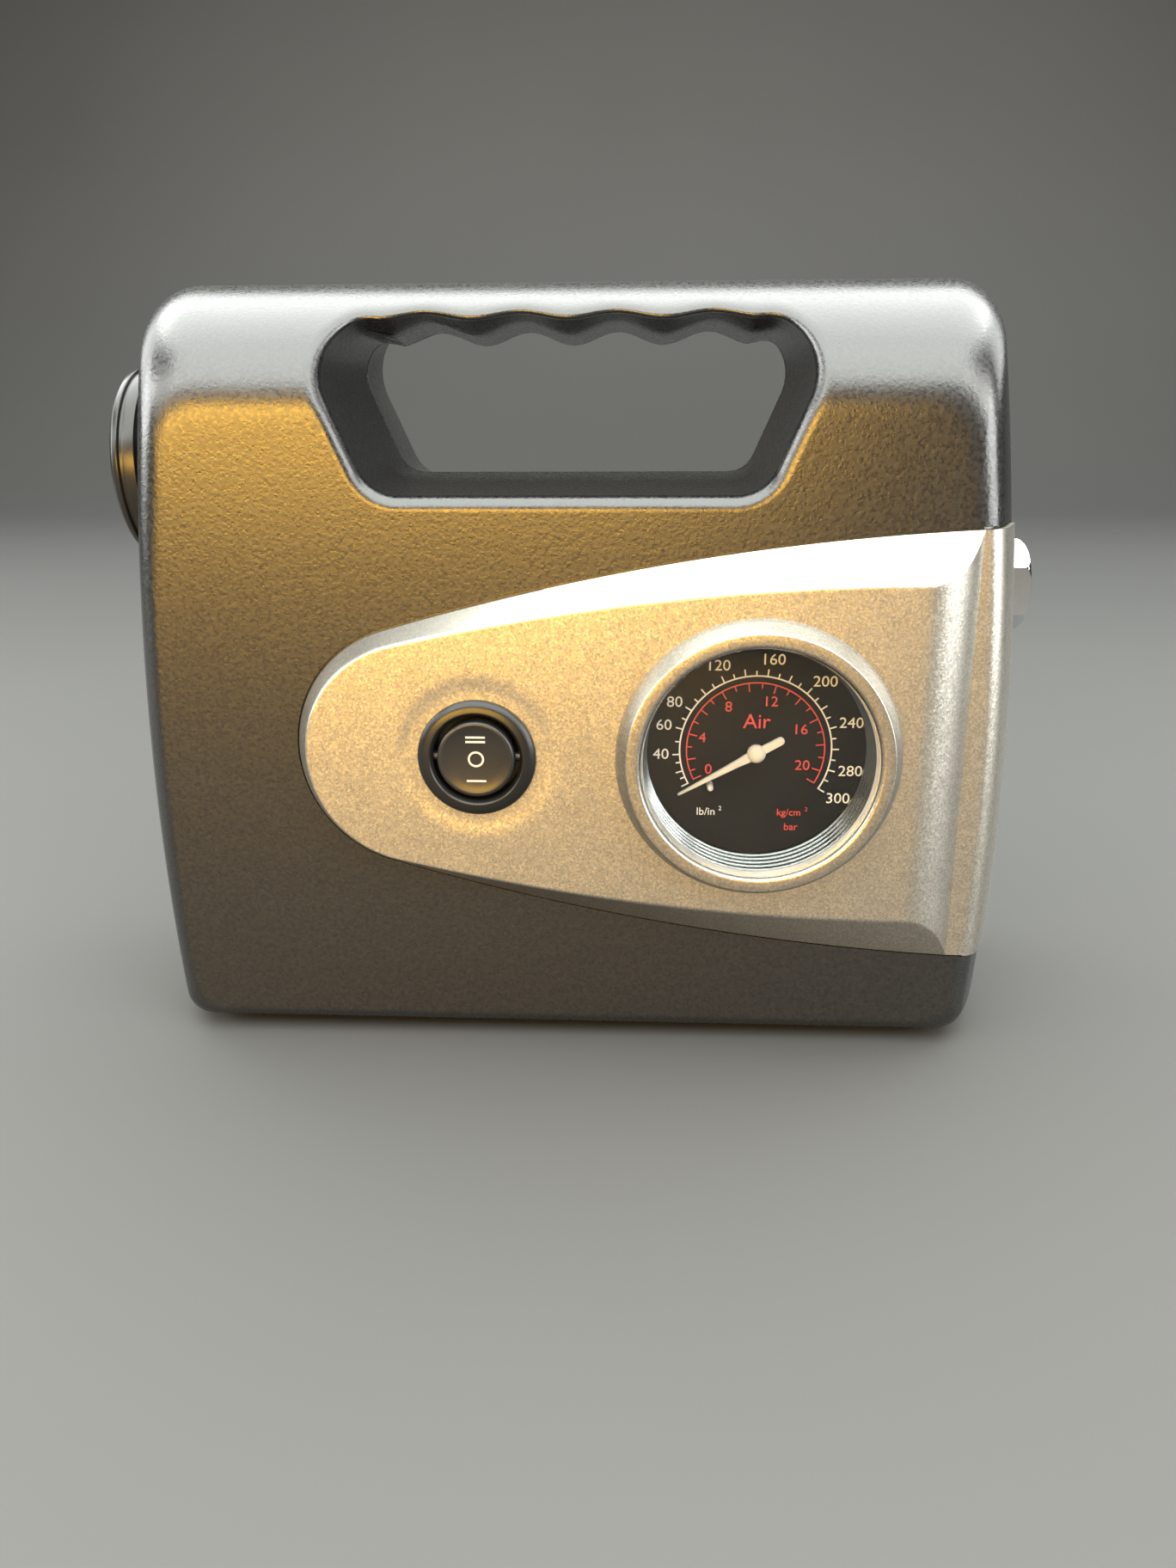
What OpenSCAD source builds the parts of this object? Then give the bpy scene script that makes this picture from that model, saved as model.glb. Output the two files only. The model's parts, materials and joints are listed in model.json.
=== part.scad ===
// Portable tyre inflator: a 12 V piston compressor in a two-part case with a carrying handle,
// a pressure gauge, a three-position rocker switch, an end lamp and a chrome air outlet.
// Millimetres. X is the width, Y runs from the front face to the back, Z is up.
// The origin is on the table, under the middle of the case.

/* [Case] */
// Width of the case at its widest, half way back
body_w = 182.5; // [180:0.5:186]
// Depth of the case between its flat front and back faces
body_d = 62; // [61:0.5:64]
// Height of the top of the handle above the table
body_h = 152.3; // [151:0.1:155]
// Height of the rubber feet under the case
foot_h = 3.3; // [2.5:0.1:4]
// Thickness of the moulded walls
wall = 2.6; // [2.4:0.1:2.8]
// Height of the rounded crown that forms the handle
crown_h = 25; // [24:0.5:26]
// How much narrower the front face is than the middle, at each end
swell = 8; // [7:0.5:9]
// Rounding between the front face and the ends
edge_r = 2.5; // [2:0.1:3]
// Rounding of the two upper corners of the case
top_r = 10; // [9:0.5:12]
// Rounding of the two lower corners of the case
bottom_r = 5; // [4:0.5:6]

/* [Hand hole] */
// Half width of the hand hole along its lower edge
hole_bottom_w = 36.9; // [35:0.1:38]
// Height of the lower edge of the hand hole
hole_bottom_z = 113.2; // [113:0.1:115]
// Height of the upper edge of the hand hole
hole_top_z = 145.5; // [144:0.1:146]
// Rounding of the rim of the hand hole
rim_r = 2.8; // [2:0.1:3]
// Distance between two finger scallops
scallop_pitch = 17.9; // [17:0.1:18.5]
// Depth of the finger scallops at the middle of the handle
scallop_depth = 2.5; // [1:0.1:3]

/* [Front panel] */
// How far the flat of the panel stands out of the case
panel_rise = 6; // [5:0.1:7]
// Height of the centre line of panel, gauge and switch
panel_z = 64.3; // [62:0.1:66]
// Radius of the round end of the panel
nose_r = 24.5; // [24:0.1:25]
// Position of the round end of the panel
nose_x = -53.1; // [-54:0.1:-52]

/* [Gauge] */
// Position of the gauge across the case
gauge_x = 37.4; // [36:0.1:39]
// Outer radius of the silver ring
ring_r = 27.4; // [27:0.1:28]
// How far the ring stands out of the panel
ring_rise = 4.8; // [3:0.1:5]
// Radius of the window in the ring
window_r = 22.6; // [22.4:0.1:22.8]
// Direction of the needle at zero, from the right, anticlockwise
needle_zero = 209.5; // [205:0.5:215]

/* [Switch] */
// Position of the switch across the case
switch_x = -16.8; // [-18:0.1:-15]
// Radius of the flange of the switch
flange_r = 11.5; // [11:0.1:12]
// Radius of the round rocker
rocker_r = 7.55; // [7:0.05:7.6]

/* [Lamp] */
// Height of the centre of the lamp on the left end
lamp_z = 117.4; // [116:0.1:118]
// Outer radius of the lamp bezel
lamp_r = 19.4; // [19:0.1:19.6]

/* [Outlet] */
// Height of the chrome air outlet on the right end
outlet_z = 91.7; // [91:0.1:92]
// Width across the flats of the outlet hexagon
outlet_af = 17; // [16:0.5:18]

/* [Pump] */
// Height of the motor shaft
motor_z = 26; // [25.5:0.1:26.5]
// Position of the pump drive from front to back
drive_y = 4; // [3.5:0.1:4.5]
// Radius of the motor can
motor_r = 18; // [17.5:0.1:18]
// Radius of the crank
crank_r = 8; // [7:0.5:8]
// Bore radius of the pump cylinder
bore_r = 10; // [10:0.1:10.5]

/* [Hidden] */

$fn = 64;
half_d = body_d / 2;
crown_z = body_h - crown_h;

// The ends are arcs in front view, widest a third of the way up
side_arc_r = 576;
side_arc_z = 50;
// Steps of the case surface: from front to back, and round the outline
depth_steps = 8;
side_steps = 8;
top_steps = 6;
bottom_steps = 4;

// Hand hole
hole_x = 0.5;
hole_slant = 0.437;
hole_top_r = 10.8;
hole_bottom_r = 8;
hole_draft = 2.5;

// Front panel
panel_arc_r = 480;
plateau_arc_r = 450;
plateau_nose_x = -50.5;
plateau_flat_x = 67.3;
plateau_roll_r = 12.5;
panel_skin = 0.6;
panel_seat = 1.2;
panel_gap = 0.2;
panel_back_y = -21;
plateau_y = -half_d - panel_rise;
ring_y = plateau_y - ring_rise;

// Gauge, from front to back
dial_y = -29.5;
case_back_y = -11;
sector_ratio = 9;
needle_teeth = 9;
gauge_module = 0.8 / 3;
needle_pitch_r = needle_teeth * gauge_module / 2;
sector_pitch_r = needle_pitch_r * sector_ratio;
sector_dist = needle_pitch_r + sector_pitch_r + 0.05;
sector_dir = 60;
tail_dir = -30;
tail_r = 4.5;
needle_turn_max = 240;

// Pump
gear_module = 0.7;
pinion_teeth = 12;
gear_teeth = 60;
gear_z = motor_z + gear_module * (pinion_teeth + gear_teeth) / 2 + 0.15;
plate_x0 = -45.25;
plate_x1 = -42.75;
rod_x0 = -60.5;
rod_x1 = -55;
rod_mid_x = (rod_x0 + rod_x1) / 2;
eye_z = gear_z - crank_r;
piston_top_z = 84;
cylinder_z0 = 74;
cylinder_z1 = 101;
head_z1 = 110;
line_z = 106.5;
fit = 0.05;

// Screws that join the shells: [x, z]
shell_screw_at = [[-60, 142], [60, 142], [-74, 63], [75, 55], [-72, 12], [72, 12]];
// Depth at which their heads sit in the rear shell
screw_seat_y = 8;
// Bosses on the rear shell that carry the pump frame: [x, z]
frame_boss_at = [[-51, 15], [-37, 86]];
frame_boss_y = 24;

// ---------- helpers: round bars and plates along each axis ----------

module rod_x(y, z, x0, x1, r) {
    translate([x0, y, z]) rotate([0, 90, 0]) cylinder(h = x1 - x0, r = r);
}

module rod_y(x, z, y0, y1, r) {
    translate([x, y0, z]) rotate([-90, 0, 0]) cylinder(h = y1 - y0, r = r);
}

module rod_z(x, y, z0, z1, r) {
    translate([x, y, z0]) cylinder(h = z1 - z0, r = r);
}

// A plate cut from an outline drawn in X and Z
module plate_y(y0, y1) {
    translate([0, y1, 0]) rotate([90, 0, 0]) linear_extrude(y1 - y0) children();
}

// A plate cut from an outline drawn in Y and Z
module plate_x(x0, x1) {
    translate([x0, 0, 0]) rotate([90, 0, 90]) linear_extrude(x1 - x0) children();
}

// A turned piece whose profile is drawn as [radius, y]
module turned_y(x, z) {
    translate([x, 0, z]) rotate([-90, 0, 0]) rotate_extrude() children();
}

// A turned piece whose profile is drawn as [radius, x]
module turned_x(y, z) {
    translate([0, y, z]) rotate([0, 90, 0]) rotate_extrude() children();
}

function arc(cx, cy, r, a0, a1, n) =
    [for (i = [0 : n]) let (a = a0 + (a1 - a0) * i / n) [cx + r * cos(a), cy + r * sin(a)]];

// Closed solid through a list of rings, each a list of [x, y, z] with as many points
module loft(rings) {
    n = len(rings[0]);
    last = len(rings) - 1;
    points = [for (ring = rings) each ring];
    front = [for (i = [n - 1 : -1 : 0]) i];
    back = [for (i = [0 : n - 1]) last * n + i];
    sides = [
        for (j = [0 : last - 1], i = [0 : n - 1])
            let (a = j * n + i, b = j * n + (i + 1) % n)
            each [[a, b, b + n], [a, b + n, a + n]]
    ];
    polyhedron(points, concat([front], sides, [back]));
}

// ---------- form of the case ----------

// Half width of the case at a height, half way back
function side_x(z) = body_w / 2 - side_arc_r + sqrt(pow(side_arc_r, 2) - pow(z - side_arc_z, 2));

// Slope of the ends at a height, as an angle
function side_slope(z) = asin((z - side_arc_z) / side_arc_r);

// How far the rounded front edge draws the outline in at a depth
function edge_in(y, grow) =
    let (a = edge_r - (half_d + grow - abs(y)))
    a > 0 ? edge_r - sqrt(pow(edge_r, 2) - pow(a, 2)) : 0;

// Right half of the outline at a depth, from the middle of the floor to the crown
function half_outline(y, grow) =
    let (
        depth = half_d + grow,
        edge = edge_in(y, grow),
        shift = grow - edge - swell * pow(abs(y) / depth, 2.2),
        z0 = foot_h - grow + edge,
        z1 = crown_z + (crown_h + grow) * sqrt(max(0, 1 - pow(y / depth, 2))),
        r0 = bottom_r + grow,
        r1 = top_r + grow,
        low = z0 + r0,
        slope = side_slope(z1 - r1),
        high = z1 - r1 + r1 * sin(slope)
    )
    concat(
        arc(side_x(low) + shift - r0, low, r0, -90, 0, bottom_steps),
        [for (i = [1 : side_steps - 1])
            let (z = low + (high - low) * i / side_steps) [side_x(z) + shift, z]],
        arc(side_x(high) + shift - r1 * cos(slope), high - r1 * sin(slope), r1, slope, 90, top_steps)
    );

function ring_at(y, grow) =
    let (half = half_outline(min(y, 0), grow))
    concat(
        [for (p = half) [p[0], y, p[1]]],
        [for (i = [len(half) - 1 : -1 : 0]) [-half[i][0], y, half[i][1]]]
    );

// Front half of the case grown by a distance, carried past the parting plane by `past`
module case_half(grow, past) {
    depth = half_d + grow;
    rings = [for (i = [0 : depth_steps]) ring_at(-depth * cos(90 * i / depth_steps), grow)];
    loft(past > 0 ? concat(rings, [ring_at(past, grow)]) : rings);
}

// Depth of the front surface of the case at a height
function surface_y(z) =
    z > crown_z ? -half_d * sqrt(max(0, 1 - pow((z - crown_z) / crown_h, 2))) : -half_d;

// ---------- hand hole ----------

// Lowers the upper edge of the hole between the finger scallops
function scallop(x, depth) =
    depth * (1 + cos(360 * x / scallop_pitch)) / 2 * min(1, max(0, (41 - abs(x)) / 6));

// Outline of the hand hole grown by a distance: a rounded trapezium with scallops
function hole_outline(grow, depth) =
    let (
        lean = sqrt(1 + pow(hole_slant, 2)),
        angle = atan(hole_slant),
        rt = hole_top_r + grow,
        rb = hole_bottom_r + grow,
        zt = hole_top_z + grow - rt,
        zb = hole_bottom_z - grow + rb,
        xt = hole_bottom_w + (zt - hole_bottom_z) * hole_slant + (grow - rt) * lean,
        xb = hole_bottom_w + (zb - hole_bottom_z) * hole_slant + (grow - rb) * lean,
        right = concat(arc(xb, zb, rb, -90, -angle, 4), arc(xt, zt, rt, -angle, 90, 7)),
        top = [for (i = [1 : 31]) [xt - 2 * xt * i / 32, zt + rt]],
        left = [for (i = [len(right) - 1 : -1 : 0]) [-right[i][0], right[i][1]]]
    )
    [for (p = concat(right, top, left))
        [hole_x + p[0], p[1] - (p[1] > zt ? scallop(p[0], depth) : 0)]];

// A ring of the hole cutter that follows the case surface, `inward` behind it
function rim_ring(grow, depth, inward) =
    [for (p = hole_outline(grow, depth)) [p[0], surface_y(p[1]) + inward, p[1]]];

function flat_ring(grow, depth, y) = [for (p = hole_outline(grow, depth)) [p[0], y, p[1]]];

// Everything that the hand hole takes out of the front half
module hole_cutter() {
    loft(concat(
        [flat_ring(rim_r, 0.8, -half_d - 9)],
        [for (a = [0 : 30 : 90]) rim_ring(rim_r * (1 - sin(a)), 0.8 + 0.4 * sin(a), rim_r * (1 - cos(a)))],
        [
            flat_ring(-hole_draft / 2, scallop_depth * 0.9, -14),
            flat_ring(-hole_draft, scallop_depth, 0),
            flat_ring(-hole_draft, scallop_depth, 1)
        ]
    ));
}

// Block round the hole that the hollow of the case leaves standing
module hole_core() {
    plate_y(-half_d, 2) union() {
        polygon(hole_outline(wall, 0));
        translate([hole_x - 45, hole_top_z - 6]) square([90, crown_h]);
    }
}

// ---------- shells ----------

// Outline of the panel, grown by a distance, at the level of the case or of the plateau
function panel_outline(tip_x, tip_r, arc_r, flat_x, half_h, grow) =
    let (
        cx = tip_x + tip_r,
        turn = atan2(arc_r - half_h, flat_x - cx),
        end = acos(min(1, (105 - flat_x) / (arc_r + grow))),
        upper = concat(
            arc(flat_x, half_h - arc_r, arc_r + grow, end, 180 - turn, 9),
            [for (i = [1 : 9]) let (a = 180 - turn + turn * i / 9)
                [cx + (tip_r + grow) * cos(a), (tip_r + grow) * sin(a)]]
        )
    )
    concat(
        [for (p = upper) [p[0], p[1] + panel_z]],
        [for (i = [len(upper) - 2 : -1 : 0]) [upper[i][0], panel_z - upper[i][1]]]
    );

// Radius of the round end that meets both long arcs without a corner
function tip_radius(tip_x, arc_r, flat_x, half_h) =
    let (a = flat_x - tip_x, b = arc_r - half_h)
    (pow(arc_r, 2) - pow(a, 2) - pow(b, 2)) / (2 * (arc_r - a));

function outer_line(grow) = panel_outline(nose_x, nose_r, panel_arc_r, 101.3, 43.4, grow);

function plateau_line(grow) =
    panel_outline(plateau_nose_x, tip_radius(plateau_nose_x, plateau_arc_r, 68.3, 33.25),
        plateau_arc_r, 68.3, 33.25, grow);

module panel_prism(grow, y0, y1) {
    plate_y(y0, y1) polygon(outer_line(grow));
}

// Front outside of the case with the step that seats the panel
module seated_front() {
    difference() {
        case_half(0, 0);
        difference() {
            panel_prism(panel_gap, -half_d - 9, panel_back_y + panel_gap);
            case_half(-panel_seat, 0);
        }
    }
}

// Lamp and outlet openings, which both shells share
module end_openings() {
    rod_x(2, lamp_z, -100, -70, 17.6);
    rod_x(2, lamp_z, -100, -86, 19.7);
    rod_x(drive_y, outlet_z, 80, 100, 6.5);
    rod_x(drive_y, outlet_z, 88.5, 100, 10.6);
}

// Thicker wall round the lamp and the outlet, with flat seats
module end_pads() {
    rod_x(2, lamp_z, -86, -80, 20.8);
    rod_x(drive_y, outlet_z, 84, 88, 11);
}

module front_bosses() {
    for (p = shell_screw_at) rod_y(p[0], p[1], -half_d + 1, 0, 3.8);
}

module front_shell() {
    color("#2b2b2d") difference() {
        union() {
            difference() {
                seated_front();
                difference() {
                    case_half(-wall, 1);
                    hole_core();
                }
            }
            intersection() {
                case_half(-1.4, 0);
                union() {
                    front_bosses();
                    end_pads();
                }
            }
            intersection() {
                rod_x(2, lamp_z, -86, -82, 20.8);
                translate([-100, -half_d, 0]) cube([100, half_d, body_h]);
            }
        }
        hole_cutter();
        end_openings();
        rod_y(gauge_x, panel_z, -half_d - 5, -24, 24.8);
        rod_y(switch_x, panel_z, -half_d - 5, -24, 10.6);
        for (p = shell_screw_at) rod_y(p[0], p[1], -14, 1, 1.5);
    }
}

// Slots that let the motor's warm air out of the back
module vents() {
    for (i = [0 : 8]) {
        x = -32 + i * 5;
        translate([x, half_d - 6, 16]) cube([2.2, 8, 22]);
        rod_y(x + 1.1, 38, half_d - 6, half_d + 2, 1.1);
        rod_y(x + 1.1, 16, half_d - 6, half_d + 2, 1.1);
    }
}

module rear_bosses() {
    for (p = shell_screw_at) rod_y(p[0], p[1], 0, half_d - 1, 5.6);
    for (p = frame_boss_at) rod_y(p[0], p[1], frame_boss_y, half_d - 1, 4);
}

module rear_shell() {
    color("#2b2b2d") difference() {
        union() {
            mirror([0, 1, 0]) difference() {
                case_half(0, 0);
                difference() {
                    case_half(-wall, 1);
                    hole_core();
                }
            }
            intersection() {
                mirror([0, 1, 0]) case_half(-1.4, 0);
                union() {
                    rear_bosses();
                    end_pads();
                }
            }
            intersection() {
                rod_x(2, lamp_z, -86, -82, 20.8);
                translate([-100, 0, 0]) cube([100, half_d, body_h]);
            }
        }
        mirror([0, 1, 0]) hole_cutter();
        end_openings();
        vents();
        for (p = shell_screw_at) {
            rod_y(p[0], p[1], -1, screw_seat_y + 1, 1.8);
            rod_y(p[0], p[1], screw_seat_y, half_d + 2, 3.8);
        }
        for (p = frame_boss_at) rod_y(p[0], p[1], frame_boss_y - 1, half_d - 1.2, 1.25);
        rod_y(-60, 34, 20, half_d + 2, 5);
    }
}

// ---------- silver panel ----------

// Side view of the plateau from above: flat, then rolled back towards the right end
module plateau_prism(grow, y_back) {
    y0 = plateau_y - grow;
    r = plateau_roll_r + grow;
    linear_extrude(body_h) polygon(concat(
        [[-80, y_back], [-80, y0]],
        arc(plateau_flat_x, plateau_y + plateau_roll_r, r, -90, -15, 7),
        [[plateau_flat_x + r, y_back]]
    ));
}

// The bevel between the outline on the case and the outline of the plateau
module bevel_loft(grow, y_back) {
    step = -half_d - panel_skin;
    loft([
        [for (p = plateau_line(grow)) [p[0], plateau_y - 1, p[1]]],
        [for (p = plateau_line(grow)) [p[0], plateau_y - min(0, grow), p[1]]],
        [for (p = outer_line(grow)) [p[0], step, p[1]]],
        [for (p = outer_line(grow)) [p[0], y_back, p[1]]]
    ]);
}

module front_panel() {
    color("#c3c4c6") difference() {
        union() {
            intersection() {
                case_half(panel_skin, 0);
                panel_prism(0, -half_d - 2, panel_back_y);
            }
            intersection() {
                bevel_loft(0, -29);
                plateau_prism(0, -29);
            }
        }
        case_half(-panel_seat, 0);
        intersection() {
            bevel_loft(-2, -26);
            plateau_prism(-2, -26);
        }
        rod_y(gauge_x, panel_z, plateau_y - 2, -20, 24.6);
        rod_y(switch_x, panel_z, plateau_y - 2, -20, 10.2);
    }
}

// ---------- feet, screws and gland ----------

// Four pads at the corners and one in the middle, under the motor's weight
module rubber_feet() {
    color("#1a1a1a") for (p = [[-64, -18], [-64, 18], [64, -18], [64, 18], [0, 0]])
        translate([p[0], p[1], 0])
            rotate_extrude() polygon([[0, 0], [5.6, 0], [6.5, 0.9], [6.5, foot_h], [0, foot_h]]);
}

// Self-tapping screw along Y: the head's underside is at y, the point is in front of it
module case_screw(x, z, y, length, r) {
    turned_y(x, z) polygon([
        [0, y - length], [r * 0.4, y - length + 0.4], [r, y - length + 2.5], [r, y],
        [r * 2.1, y], [r * 2.1, y + 1.1], [r * 1.5, y + 2], [0, y + 2]
    ]);
}

module shell_screws() {
    color("#8d8f92") for (p = shell_screw_at) case_screw(p[0], p[1], screw_seat_y, 20, 1.45);
}

// Rubber bush through which the supply lead enters
module cord_gland() {
    color("#1c1c1c") turned_y(-60, 34) polygon([
        [3.4, half_d + 1.6], [6, half_d + 1.6], [6.6, half_d + 1], [6.6, half_d],
        [4.9, half_d], [4.9, half_d - wall - 0.1], [6.2, half_d - wall - 0.1],
        [6.2, half_d - wall - 1.8], [3.4, half_d - wall - 1.8]
    ]);
}

// ---------- air line ----------

module hexagon(af) {
    circle(r = af / 2 / cos(30), $fn = 6);
}

// Chromed coupling with a female thread for the hose
module outlet_fitting() {
    color("#d8dadc") difference() {
        union() {
            intersection() {
                translate([90.4, drive_y, outlet_z]) rotate([0, 90, 0])
                    linear_extrude(5.2) hexagon(outlet_af);
                turned_x(drive_y, outlet_z) polygon([
                    [0, 90], [9.9, 90], [9.9, 93.6], [8.9, 94.9], [7.2, 95.6], [0, 95.6]
                ]);
            }
            rod_x(drive_y, outlet_z, 88.5, 90.4, 10.2);
            rod_x(drive_y, outlet_z, 80, 89, 6.2);
        }
        rod_x(drive_y, outlet_z, 84, 97, 4.28);
        rod_x(drive_y, outlet_z, 79, 85, 2);
    }
}

module outlet_nut() {
    color("#b9975b") difference() {
        translate([80.5, drive_y, outlet_z]) rotate([0, 90, 0]) linear_extrude(2.4) hexagon(17);
        rod_x(drive_y, outlet_z, 79, 84, 6.25);
    }
}

module outlet_seal() {
    color("#202020") difference() {
        rod_x(drive_y, outlet_z, 82.9, 84, 9);
        rod_x(drive_y, outlet_z, 82, 85, 6.25);
    }
}

// Brass tee that joins the pump line, the outlet and the gauge line
module tee_block() {
    color("#b9975b") difference() {
        union() {
            translate([68, drive_y - 6, outlet_z - 6]) cube([12, 12, 12]);
            rod_x(drive_y, outlet_z, 62.9, 68.1, 2.6);
            rod_z(70.6, drive_y, outlet_z - 14, outlet_z - 5.9, 1.6);
        }
        rod_x(drive_y, outlet_z, 61, 81, 1.6);
        rod_z(70.6, drive_y, outlet_z - 15, outlet_z, 0.9);
    }
}

// Quarter bend in the X-Z plane round a centre, from one angle to the next
module bend_xz(x, y, z, radius, a0, outer, inner) {
    translate([x, y, z]) rotate([90, 0, 0]) rotate([0, 0, a0]) rotate_extrude(angle = 90)
        translate([radius, 0]) difference() {
            circle(r = outer);
            circle(r = inner);
        }
}

module pipe_x(y, z, x0, x1, outer, inner) {
    difference() {
        rod_x(y, z, x0, x1, outer);
        rod_x(y, z, x0 - 1, x1 + 1, inner);
    }
}

// Hose from the pump head to the tee: straight, then an S-bend down
module air_tube() {
    bend = (line_z - outlet_z) / 2;
    start = -43.6;
    turn_x = 48;
    color("#6f7377") union() {
        pipe_x(drive_y, line_z, start, turn_x, 3.6, 2.65);
        bend_xz(turn_x, drive_y, line_z - bend, bend, 0, 3.6, 2.65);
        bend_xz(turn_x + 2 * bend, drive_y, outlet_z + bend, bend, 180, 3.6, 2.65);
        pipe_x(drive_y, outlet_z, turn_x + 2 * bend, 67.9, 3.6, 2.65);
    }
}

// Thin tube from the tee down and forward to the back of the gauge
module gauge_tube() {
    r = 2.6;
    inner = 1.65;
    bend = 7;
    x1 = 70.6;
    x0 = gauge_x + 12.6;
    color("#8a8d90") union() {
        difference() {
            rod_z(x1, drive_y, panel_z + bend, outlet_z - 6.1, r);
            rod_z(x1, drive_y, panel_z + bend - 1, outlet_z, inner);
        }
        bend_xz(x1 - bend, drive_y, panel_z + bend, bend, 270, r, inner);
        pipe_x(drive_y, panel_z, x0 + bend, x1 - bend, r, inner);
        translate([x0 + bend, drive_y - bend, panel_z]) rotate([0, 0, 90]) rotate_extrude(angle = 90)
            translate([bend, 0]) difference() {
                circle(r = r);
                circle(r = inner);
            }
        difference() {
            rod_y(x0, panel_z, case_back_y + 0.1, drive_y - bend, r);
            rod_y(x0, panel_z, case_back_y - 1, drive_y, inner);
        }
    }
}

// ---------- lamp ----------

module lamp_bezel() {
    color("#242426") turned_x(2, lamp_z) polygon([
        [16.2, -74], [17.3, -74], [17.3, -86], [lamp_r, -86], [lamp_r, -88.4],
        [lamp_r - 0.7, -88.7], [lamp_r - 0.7, -89.3], [lamp_r, -89.6], [lamp_r - 0.3, -90.7],
        [lamp_r - 1.2, -91.4], [lamp_r - 2.4, -91.6], [15.6, -91.2], [15.4, -90],
        [16.2, -89.8]
    ]);
}

// Lightly domed clear cover
module lamp_lens() {
    color("#dfe8ee", 0.45) turned_x(2, lamp_z) polygon(concat(
        [[0, -88.3]],
        [[16.1, -88.3], [16.1, -89.7], [15.2, -89.9]],
        [for (i = [0 : 6]) let (r = 15 - 2.5 * i) [r, -91.2 + 1.2 * pow(r / 15, 2)]]
    ));
}

module lamp_reflector() {
    inner = [for (i = [0 : 8]) let (r = 3.6 + 11 * i / 8) [r, -76.6 - 11.4 * pow((r - 3.6) / 11, 1.7)]];
    color("#e6e8ea") turned_x(2, lamp_z) polygon(concat(
        inner,
        [[16.1, -88.1], [16.1, -87.2], [15.2, -87.2]],
        [for (i = [7 : -1 : 0]) [inner[i][0] + 0.9, inner[i][1] + 0.6]]
    ));
}

module lamp_board() {
    color("#1f6b3a") rod_x(2, lamp_z, -76, -74.4, 16.1);
}

module lamp_led() {
    color("#f2efc8") union() {
        rod_x(2, lamp_z, -77.2, -76, 3);
        intersection() {
            translate([-77.2, 2, lamp_z]) sphere(r = 2.4);
            translate([-81, -1, lamp_z - 3]) cube([3.8, 6, 6]);
        }
    }
}

// ---------- gauge ----------

module gauge_ring() {
    color("#c9cacc") turned_y(gauge_x, panel_z) polygon([
        [window_r, -33], [window_r, ring_y + 0.4], [window_r + 0.4, ring_y],
        [25.3, ring_y], [25.9, ring_y + 0.3], [26.5, ring_y + 1.4], [27, ring_y + 3],
        [ring_r, plateau_y], [24.4, plateau_y], [24.4, -33]
    ]);
}

module gauge_case() {
    color("#26282b") difference() {
        rod_y(gauge_x, panel_z, -33, case_back_y, 24.2);
        rod_y(gauge_x, panel_z, -34, dial_y + 0.6, 22.5);
        rod_y(gauge_x, panel_z, dial_y, case_back_y - 1.4, 20.6);
        rod_y(gauge_x + 12.6, panel_z, case_back_y - 3, case_back_y + 1, 1.7);
    }
}

module gauge_dial() {
    color("#17181a") difference() {
        rod_y(gauge_x, panel_z, dial_y, dial_y + 0.6, 22.4);
        rod_y(gauge_x, panel_z, dial_y - 1, dial_y + 2, 1.4);
    }
}

module gauge_lens() {
    color("#eef3f6", 0.3) difference() {
        rod_y(gauge_x, panel_z, ring_y + 0.7, dial_y, 22.4);
        rod_y(gauge_x, panel_z, ring_y + 2.3, dial_y + 1, 21.6);
    }
}

// Pointer seen from the front: tapered blade, hub and rounded tail
module gauge_needle() {
    a = needle_zero;
    color("#efe6cf") translate([gauge_x, 0, panel_z]) plate_y(-32.6, -31.8) {
        rotate(a) polygon([[1.2, 0.85], [17, 0.22], [17, -0.22], [1.2, -0.85]]);
        rotate(a + 180) polygon([[0, 0.85], [5.6, 0.85], [5.6, -0.85], [0, -0.85]]);
        rotate(a + 180) translate([5.6, 0]) circle(r = 0.85);
        circle(r = 1.95);
    }
    color("#efe6cf") turned_y(gauge_x, panel_z)
        polygon([[0, -33.4], [1.2, -33.3], [1.7, -32.9], [1.8, -32.6], [0, -32.6]]);
}

function involute(a) = tan(a) * 180 / PI - a;

// Outline of one involute tooth on the +X side; `slack` thins it at the pitch circle
function tooth(teeth, mod, slack, tip, root) =
    let (
        rp = teeth * mod / 2,
        rb = rp * cos(20),
        half = 90 / teeth - slack / rp * 90 / PI,
        radii = [max(rb * 1.0001, root), rp, (rp + tip) / 2, tip],
        flank = [for (r = radii) [r, half + involute(20) - involute(acos(min(1, rb / r)))]],
        foot = [root, flank[0][1]]
    )
    concat(
        [[foot[0] * cos(foot[1]), -foot[0] * sin(foot[1])]],
        [for (f = flank) [f[0] * cos(f[1]), -f[0] * sin(f[1])]],
        [for (i = [len(flank) - 1 : -1 : 0]) let (f = flank[i]) [f[0] * cos(f[1]), f[0] * sin(f[1])]],
        [[foot[0] * cos(foot[1]), foot[0] * sin(foot[1])]]
    );

function turn_points(points, a) =
    [for (p = points) [p[0] * cos(a) - p[1] * sin(a), p[0] * sin(a) + p[1] * cos(a)]];

function gear_outline(teeth, mod, slack, tip, root, phase) =
    [for (i = [0 : teeth - 1]) each turn_points(tooth(teeth, mod, slack, tip, root), phase + 360 * i / teeth)];

module needle_arbor() {
    color("#c8cacc") {
        rod_y(gauge_x, panel_z, -31.8, -15.2, 0.6);
        translate([gauge_x, 0, panel_z]) plate_y(-21.4, -18.6)
            polygon(gear_outline(needle_teeth, gauge_module, 0.06,
                needle_pitch_r + 0.2, needle_pitch_r - 0.38, sector_dir));
    }
}

module needle_stop() {
    color("#efe6cf") rod_y(gauge_x - 8.7, panel_z - 6.9, -32.4, dial_y, 0.55);
}

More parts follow.
